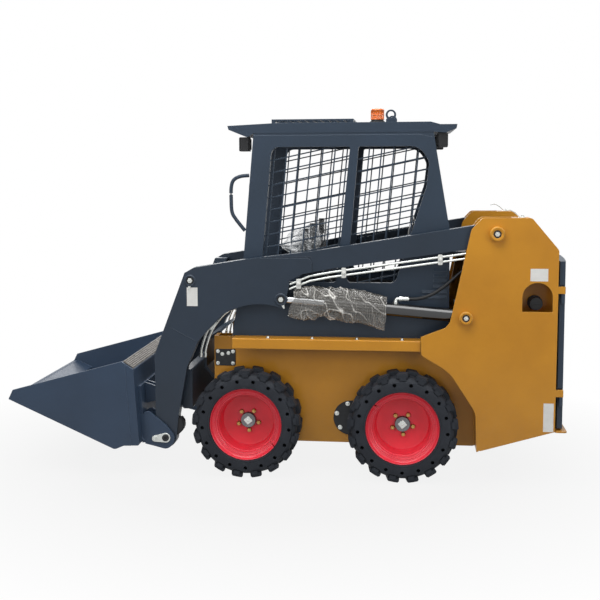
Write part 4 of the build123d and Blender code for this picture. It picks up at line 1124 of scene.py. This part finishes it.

# %% [markdown]
# ## Cylinder port and hose
# A plated elbow feeds the left lift cylinder behind its film, and a rubber hose with a braided
# core runs from it up into the tower. The hose is a smooth NURBS line given a round section; it
# rides on no body, so it stays where it is when the cylinder swings.

# %% The elbow and the hose
HOSE_DIAMETER = 18
fitting = bmesh.new()
turned_part(fitting, [(0, 0), (15, 0), (15, 12), (12, 14), (12, 20), (0, 20)],
            standing((-604, LIFT_Y, 943), UP), 6)
elbow_line = smooth_line([
    (-604, LIFT_Y, 950), (-605, LIFT_Y, 961), (-612, LIFT_Y, 968), (-630, LIFT_Y, 969)], 6)
round_bar(fitting, elbow_line, 9, 14)
turned_part(fitting, [(0, 0), (14, 0), (14, 16), (0, 16)],
            standing((-622, LIFT_Y, 969), BACKWARD), 6)
turned_part(fitting, [(0, 0), (11.5, 0), (12.5, 4), (12.5, 34), (11, 38), (0, 38)],
            standing((-636, LIFT_Y, 969), BACKWARD), 24)
make_piece("port_elbow", fitting, zinc_plate, "lift_barrel_left")
hose_route = [
    (-640, 465, 969), (-675, 465, 969), (-722, 465, 968), (-790, 465, 990), (-850, 463, 1030),
    (-905, 458, 1078), (-955, 445, 1122), (-1000, 425, 1150), (-1030, 401, 1160)]
hose_curve = bpy.data.curves.new("hose_route", "CURVE")
hose_curve.dimensions = "3D"
hose_spline = hose_curve.splines.new("NURBS")
hose_spline.points.add(len(hose_route) - 1)
for control, corner in zip(hose_spline.points, hose_route):
    control.co = (*(Vector(corner) * MM), 1)
hose_spline.order_u = 3
hose_spline.use_endpoint_u = True
hose_spline.resolution_u = 12
hose_line = bpy.data.objects.new("hose_line", hose_curve)
bpy.context.scene.collection.objects.link(hose_line)
bpy.context.view_layer.update()
bare_line = evaluated_mesh(hose_line)
hose_points = [vert.co.copy() for vert in bare_line.vertices]
bpy.data.objects.remove(hose_line)
hose_shape = bmesh.new()
round_bar(hose_shape, [point / MM for point in hose_points], HOSE_DIAMETER / 2, 18)
hose_rubber = moulded(
    "hose_rubber_extruded", "#161719", "#2b2c2e",
    amount=0.3, roughness=0.38, grain_mm=4, bump=0.15, ior=1.52)
hose = make_piece("lift_hose_left", hose_shape, hose_rubber, None)
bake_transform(hose)

# %% [markdown]
# ## Beacon and lamps
# The beacon's lens is amber polycarbonate, moulded with upright flutes that break up the light,
# on a grey foot. The work lamps are black housings with a rim and a ribbed clear lens.

# %% The beacon
BEACON_X, BEACON_Y, ROOF_TOP = -495, 200, 1902
amber_polycarbonate, amber_tree, amber_shader, amber_place = new_finish(
    "amber_polycarbonate_moulded")
swirl = add_node(amber_tree, "ShaderNodeTexNoise", {}, {
    "Vector": amber_place, "Scale": per_metre(22), "Detail": 2.0})
amber_mix = add_node(amber_tree, "ShaderNodeMix", BLEND, {
    FACTOR: swirl.outputs[0], FIRST: linear("#ff8a1a"), SECOND: linear("#e8620a")})
amber_tree.links.new(amber_mix.outputs[MIXED], amber_shader.inputs["Base Color"])
amber_shader.inputs["Roughness"].default_value = 0.12
amber_shader.inputs["IOR"].default_value = 1.58
amber_shader.inputs["Transmission Weight"].default_value = 0.25
amber_shader.inputs["Coat Weight"].default_value = 0.5
foot_shape = bmesh.new()
turned_part(foot_shape, [
    (0, 0.2), (42, 0.2), (42, 8), (40, 12), (35, 12.6), (34, 20), (0, 20)],
    standing((BEACON_X, BEACON_Y, ROOF_TOP), UP), 48)
beacon_foot = make_piece("beacon_foot", foot_shape, black_moulding, "chassis")
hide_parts("beacon")
lens_shape = bmesh.new()
FLUTES = 28
lens_profile = [(0, 20), (36, 20), (38, 21.5), (38, 26), (36.6, 27), (36.6, 44), (38, 45), (38, 48),
                (36.6, 49), (36.4, 68), (37.4, 70), (36.8, 75), (33, 79.5), (24, 81.5), (0, 82)]
lens_rings = turned_part(
    lens_shape, lens_profile, standing((BEACON_X, BEACON_Y, ROOF_TOP), UP), FLUTES * 6)
for ring, (radius, height) in zip(lens_rings, lens_profile):
    if 26.5 < height < 69 and radius < 37:
        for step, vert in enumerate(ring):
            swing = 1 - 0.035 * (1 + math.cos(math.tau * step / 6))
            vert.co.x = BEACON_X + (vert.co.x - BEACON_X) * swing
            vert.co.y = BEACON_Y + (vert.co.y - BEACON_Y) * swing
beacon_lens = make_piece(
    "beacon_lens", lens_shape, amber_polycarbonate, "chassis", 50)
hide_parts("beacon")
print("beacon")

# %% The work lamps
lamp_glass, lamp_tree, lamp_shader, lamp_place = new_finish("clear_polycarbonate_lens")
lens_waves = add_node(lamp_tree, "ShaderNodeTexWave", {"bands_direction": "Y"}, {
    "Vector": lamp_place, "Scale": per_metre(40), "Distortion": 0.4})
lens_bump = add_node(lamp_tree, "ShaderNodeBump", {}, {
    "Height": lens_waves.outputs["Fac"], "Strength": 0.6, "Distance": 0.001})
lamp_tree.links.new(lens_bump.outputs[0], lamp_shader.inputs["Normal"])
lamp_shader.inputs["Base Color"].default_value = linear("#cfd6da")
lamp_shader.inputs["Roughness"].default_value = 0.1
lamp_shader.inputs["Metallic"].default_value = 0.6
lamp_shader.inputs["Coat Weight"].default_value = 1.0
LAMP_Y, LAMP_HEIGHT = 340, 76
for name, lamp_x, lamp_top, facing in (("front", 216, 1828.2, 1), ("rear", -842, 1843.7, -1)):
    for hand, side in HANDS:
        rim_shape = bmesh.new()
        middle = (lamp_x + facing * 25.5, side * LAMP_Y, lamp_top - LAMP_HEIGHT / 2)
        block(rim_shape, middle, (6, 79, 74), 2.2)
        make_piece(f"lamp_rim_{name}_{hand}", rim_shape, black_moulding, "chassis")
        glass_shape = bmesh.new()
        block(glass_shape, (middle[0] + facing * 2.2, middle[1], middle[2]), (4.5, 66, 60), 1.8)
        make_piece(f"lamp_glass_{name}_{hand}", glass_shape, lamp_glass, "chassis")
        fins = bmesh.new()
        for k in range(6):
            fin = (lamp_x - facing * 27, side * LAMP_Y + (k - 2.5) * 11, middle[2])
            block(fins, fin, (7, 2.4, 58), 0.8)
        make_piece(f"lamp_fins_{name}_{hand}", fins, black_moulding, "chassis")
print("lamps")

# %% [markdown]
# ## Seat cushions
# A vinyl seat: base and back cushions of foam, crowned, pulled in between their corners, with a
# welt along the edge and sewn channels. Each starts as a rounded block; Blender's cloth with a
# little pressure swells it, and the channels and welt are pressed and sewn on afterwards.

# %% Swell a cushion


def swollen_cushion(size, cap):
    """A block of this size in millimetres, swollen as foam in a tight cover, in metres."""
    shape = bmesh.new()
    block(shape, (0, 0, 0), size, min(size) * 0.3)
    bmesh.ops.scale(shape, vec=(MM, MM, MM), verts=shape.verts)
    pad = scratch_object(shape, "pad")
    remesh = pad.modifiers.new("voxels", "REMESH")
    remesh.mode, remesh.voxel_size = "VOXEL", 0.009
    bpy.context.view_layer.update()
    dense = evaluated_mesh(pad)
    pad.modifiers.clear()
    pad.data = dense
    start = [vert.co.copy() for vert in dense.vertices]
    cloth = pad.modifiers.new("foam", "CLOTH")
    cloth.settings.use_pressure = True
    cloth.settings.uniform_pressure_force = 4
    cloth.settings.effector_weights.gravity = 0
    cloth.point_cache.frame_end = 20
    for step in range(1, 21):
        bpy.context.scene.frame_set(step)
    swelled = evaluated_mesh(pad)
    bpy.context.scene.frame_set(1)
    ends = [vert.co.copy() for vert in swelled.vertices]
    bpy.data.objects.remove(pad)
    result = bmesh.new()
    result.from_mesh(dense)
    for vert, before, after in zip(result.verts, start, ends):
        moved = after - before
        if moved.length > cap * MM:
            moved *= cap * MM / moved.length
        vert.co = (before + moved) / MM
    return result


print("foam is swollen by cloth")

# %% Sew the channels and the welt


def sewn_channels(shape, size, lines, depth):
    """Press the face of a cushion in along sewn lines across its width."""
    for vert in shape.verts:
        if vert.co.z > 0:
            press = sum(math.exp(-((vert.co.x - line) / 7) ** 2) for line in lines)
            edge = max(0, 1 - (abs(vert.co.y) / (size[1] * 0.48)) ** 4)
            vert.co.z -= depth * press * edge
            vert.co.z += 6 * edge * (1 - (vert.co.x / (size[0] * 0.5)) ** 2)


def welt_round(shape, size, height):
    """A piped welt round the cushion's face edge."""
    half_x, half_y, corner = size[0] / 2 - 7, size[1] / 2 - 7, 40
    line = []
    for cx, cy, start in ((1, 1, 0), (-1, 1, 90), (-1, -1, 180), (1, -1, 270)):
        for step in range(9):
            angle = math.radians(start + 90 * step / 8)
            line.append(Vector((cx * (half_x - corner) + corner * math.cos(angle),
                                cy * (half_y - corner) + corner * math.sin(angle), height)))
    line.append(line[0].copy())
    round_bar(shape, line, 4.5, 10)


print("cushion helpers")

# %% Base and back
COVER_ALLOWANCE, SWELL_CAP, CHANNEL_DEPTH = 14, 9, 7
base_size, back_size = (330, 456, 120), (430, 450, 84)
base_place = Matrix.Translation((-470, 0, 893)) @ Matrix.Rotation(0.07, 4, "Y")
back_place = Matrix.Translation((-697, 0, 1165)) @ Matrix.Rotation(math.radians(82), 4, "Y")
cushions = (
    ("seat_base", base_size, (-60, 30), base_place, 40),
    ("seat_back", back_size, (-90, 20, 120), back_place, 28))
for name, size, lines, place, welt_z in cushions:
    foam_size = tuple(length - COVER_ALLOWANCE for length in size)
    pad_shape = swollen_cushion(foam_size, SWELL_CAP)
    sewn_channels(pad_shape, size, lines, CHANNEL_DEPTH)
    welt_round(pad_shape, size, welt_z)
    bmesh.ops.transform(pad_shape, matrix=place, verts=pad_shape.verts)
    cushion = make_piece(name, pad_shape, seat_vinyl, "chassis", 60)
    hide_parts("seat")
shell = bmesh.new()
shell_corners = [
    (-760, 753), (-782, 1372), (-766, 1376), (-742, 1300), (-690, 838), (-310, 838), (-306, 753)]
cut_plate(shell, shell_corners, 226, 452, 6)
seat_shell = make_piece("seat_shell", shell, black_moulding, "chassis")
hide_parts("seat")
print("seat")

# %% [markdown]
# ## Covers on the levers
# The grips still wear thin clear bags from the factory, gathered at the neck and crumpled. They
# are drawn like the film on the cylinder, but closed at the top, and the film has no bubbles: it
# is nearly clear, and shows by the white highlight painted along its creases.

# %% The bags' finish
BAG_CRACKLE_MM = 55
clear_bag, bag_tree, bag_shader, bag_place = new_finish("polythene_bag_clear")
bag_crease_highlight = add_node(bag_tree, "ShaderNodeAttribute", {"attribute_name": "crease_highlight"}, {})
# Painted highlight: the bag turns white and more opaque along its creases, where it would catch the
# light.
bag_colour = add_node(bag_tree, "ShaderNodeMix", BLEND, {
    FACTOR: bag_crease_highlight.outputs["Fac"], FIRST: linear("#d5d9da"), SECOND: linear("#ffffff")})
bag_tree.links.new(bag_colour.outputs[MIXED], bag_shader.inputs["Base Color"])
bag_cover = add_node(bag_tree, "ShaderNodeMapRange", {}, {
    "Value": bag_crease_highlight.outputs["Fac"], "To Min": 0.16, "To Max": 0.85})
bag_tree.links.new(bag_cover.outputs[0], bag_shader.inputs["Alpha"])
bag_crackle = add_node(bag_tree, "ShaderNodeTexNoise", {"noise_type": "RIDGED_MULTIFRACTAL"}, {
    "Vector": bag_place, "Scale": per_metre(BAG_CRACKLE_MM), "Detail": 3.0})
bag_bump = add_node(bag_tree, "ShaderNodeBump", {}, {
    "Height": bag_crackle.outputs[0], "Strength": 0.15, "Distance": 0.004})
bag_tree.links.new(bag_bump.outputs[0], bag_shader.inputs["Normal"])
bag_shader.inputs["Roughness"].default_value = 0.1
bag_shader.inputs["IOR"].default_value = 1.51
bag_shader.inputs["Specular IOR Level"].default_value = 0.9
print("bag finish ready")

# %% Lever covers
BAG_DROP = 165
LEVER_Y, LEVER_CLEARANCE = 310, 18.5


def crumpled_bag(x, y, low, high, radius, seed, forward):
    """A thin bag over a lever: closed on top, gathered at its neck, slack to the front."""
    shape = bmesh.new()
    crease_glints = shape.verts.layers.float.new("crease_highlight")
    unwrap = shape.loops.layers.uv.new("film")
    levels, around_steps = 44, 60
    rings = []
    for level in range(levels + 1):
        t = level / levels
        envelope = radius * (0.52 + 0.62 * math.sin(math.pi * min(1, t * 1.02)) ** 0.7)
        if t > 0.9:
            envelope *= math.sqrt(max(0.03, 1 - ((t - 0.9) / 0.1) ** 2))
        ring = []
        for k in range(around_steps):
            angle = math.tau * k / around_steps
            wave = noise.noise(Vector((math.cos(angle) * 1.5, math.sin(angle) * 1.5, t * 3 + seed)))
            fold_place = Vector((math.cos(angle) * 2.2, math.sin(angle) * 2.2, t * 5 + seed))
            fine = 1 - abs(noise.noise(fold_place)) * 2
            slack = 1 + forward * max(0, math.cos(angle)) ** 2 * math.sin(math.pi * t)
            reach = max(LEVER_CLEARANCE, envelope * slack * (1 + 0.5 * wave + 0.22 * fine ** 3))
            vert = shape.verts.new((
                x + reach * math.cos(angle), y + reach * math.sin(angle),
                low + (high - low) * t + 7 * wave * (t < 0.95)))
            # The strength of the painted white highlight along the folds.
            vert[crease_glints] = min(1, max(0, 1.2 * fine ** 14 + 0.3 * max(0, wave)))
            ring.append(vert)
        rings.append(ring)
    for i, (near, far) in enumerate(zip(rings, rings[1:])):
        for k in range(around_steps):
            after = (k + 1) % around_steps
            face = shape.faces.new((near[k], near[after], far[after], far[k]))
            places = ((i, k), (i, k + 1), (i + 1, k + 1), (i + 1, k))
            for loop, (row_at, k_at) in zip(face.loops, places):
                loop[unwrap].uv = (
                    radius * MM * 6.28 * k_at / around_steps, (high - low) * MM * row_at / levels)
    cap = shape.faces.new(rings[-1])
    for loop in cap.loops:
        loop[unwrap].uv = (0, 0)
    return shape


for hand, side in HANDS:
    for number, (x, high, forward) in enumerate(((-152, 1350, 0.2), (-96, 1330, 2.2))):
        bag = make_piece(
            f"lever_cover_{hand}_{number}",
            crumpled_bag(
                x, side * LEVER_Y, high - BAG_DROP, high, 30, number * 5 + side, forward),
            clear_bag, "chassis", 70)
print("lever covers")

# %% [markdown]
# ## Floor and studio light
# A flat paper floor, and soft light from large lamps above and on both sides, as in a
# photographer's tent. The camera, and anything shiny or clear, sees the floor and sky as white;
# the floor keeps the soft shadow under the wheels.

# %% The paper floor
FLOOR_HALF = 9
floor_mesh = bpy.data.meshes.new("floor")
floor_mesh.from_pydata(
    [(x * FLOOR_HALF, y * FLOOR_HALF, -0.001) for x, y in ((-1, -1), (1, -1), (1, 1), (-1, 1))],
    [], [(0, 1, 2, 3)])
floor = bpy.data.objects.new("floor", floor_mesh)
bpy.context.scene.collection.objects.link(floor)
white_paper = bpy.data.materials.new("white_paper_sweep")
white_paper.use_nodes = True
paper_tree = white_paper.node_tree
paper_tree.nodes.clear()
paper_place = add_node(paper_tree, "ShaderNodeTexCoord", {}, {}).outputs["Object"]
paper_shader = add_node(paper_tree, "ShaderNodeBsdfPrincipled", {}, {
    "Base Color": linear("#72716f"), "Roughness": 0.9})
paper_glow = add_node(paper_tree, "ShaderNodeEmission", {}, {
    "Color": (1, 1, 1, 1), "Strength": 1.0})
paper_rays = add_node(paper_tree, "ShaderNodeLightPath", {}, {})
paper_far = add_node(paper_tree, "ShaderNodeVectorMath", {"operation": "LENGTH"}, {0: paper_place})
paper_fade = add_node(paper_tree, "ShaderNodeMapRange", {}, {
    "Value": paper_far.outputs["Value"], "From Min": 1.2, "From Max": 2.6,
    "To Min": 0.87, "To Max": 1.0})
paper_clear = add_node(paper_tree, "ShaderNodeMath", LARGER, {
    0: paper_rays.outputs["Is Camera Ray"], 1: paper_rays.outputs["Is Transmission Ray"]})
paper_white = add_node(paper_tree, "ShaderNodeMath", LARGER, {
    0: paper_clear.outputs[0], 1: paper_rays.outputs["Is Glossy Ray"]})
paper_seen = add_node(paper_tree, "ShaderNodeMath", MULTIPLY, {
    0: paper_white.outputs[0], 1: paper_fade.outputs[0]})
paper_mix = add_node(paper_tree, "ShaderNodeMixShader", {}, {
    0: paper_seen.outputs[0], 1: paper_shader.outputs[0], 2: paper_glow.outputs[0]})
add_node(paper_tree, "ShaderNodeOutputMaterial", {}, {"Surface": paper_mix.outputs[0]})
floor_mesh.materials.append(white_paper)
print("paper floor", 2 * FLOOR_HALF, "m across")

# %% The white sky
world = bpy.data.worlds.new("white_studio")
bpy.context.scene.world = world
world.use_nodes = True
sky = world.node_tree
sky.nodes.clear()
rays = add_node(sky, "ShaderNodeLightPath", {}, {})
clear = add_node(sky, "ShaderNodeMath", LARGER, {
    0: rays.outputs["Is Camera Ray"], 1: rays.outputs["Is Transmission Ray"]})
seen = add_node(sky, "ShaderNodeMath", LARGER, {
    0: clear.outputs[0], 1: rays.outputs["Is Glossy Ray"]})
soft_sky = add_node(sky, "ShaderNodeBackground", {}, {"Color": linear("#e8eef6"), "Strength": 0.3})
plain_white = add_node(sky, "ShaderNodeBackground", {}, {"Color": (1, 1, 1, 1), "Strength": 1.0})
sky_mix = add_node(sky, "ShaderNodeMixShader", {}, {
    0: seen.outputs[0], 1: soft_sky.outputs[0], 2: plain_white.outputs[0]})
add_node(sky, "ShaderNodeOutputWorld", {}, {"Surface": sky_mix.outputs[0]})
print("sky ready")

# %% The lamps


def area_lamp(name, place, target, size, watts):
    """A square soft box at a place, aimed at a target."""
    data = bpy.data.lights.new(name, "AREA")
    data.shape = "SQUARE"
    data.size = size
    data.energy = watts
    lamp = bpy.data.objects.new(name, data)
    bpy.context.scene.collection.objects.link(lamp)
    lamp.location = place
    lamp.rotation_mode = "QUATERNION"
    lamp.rotation_quaternion = (Vector(target) - Vector(place)).to_track_quat("-Z", "Y")


area_lamp("overhead", (0.2, 1.6, 5.0), (0, 0, 0.6), 4.0, 230)
area_lamp("left_front", (3.4, 5.2, 3.0), (0, 0, 0.8), 3.0, 75)
area_lamp("left_rear", (-4.4, 4.4, 2.6), (0, 0, 0.8), 3.0, 80)
area_lamp("far_side", (0.5, -5.5, 3.2), (0, 0, 0.8), 3.0, 90)
bpy.context.scene.view_settings.view_transform = "Standard"
print("lamps:", len(bpy.data.lights))
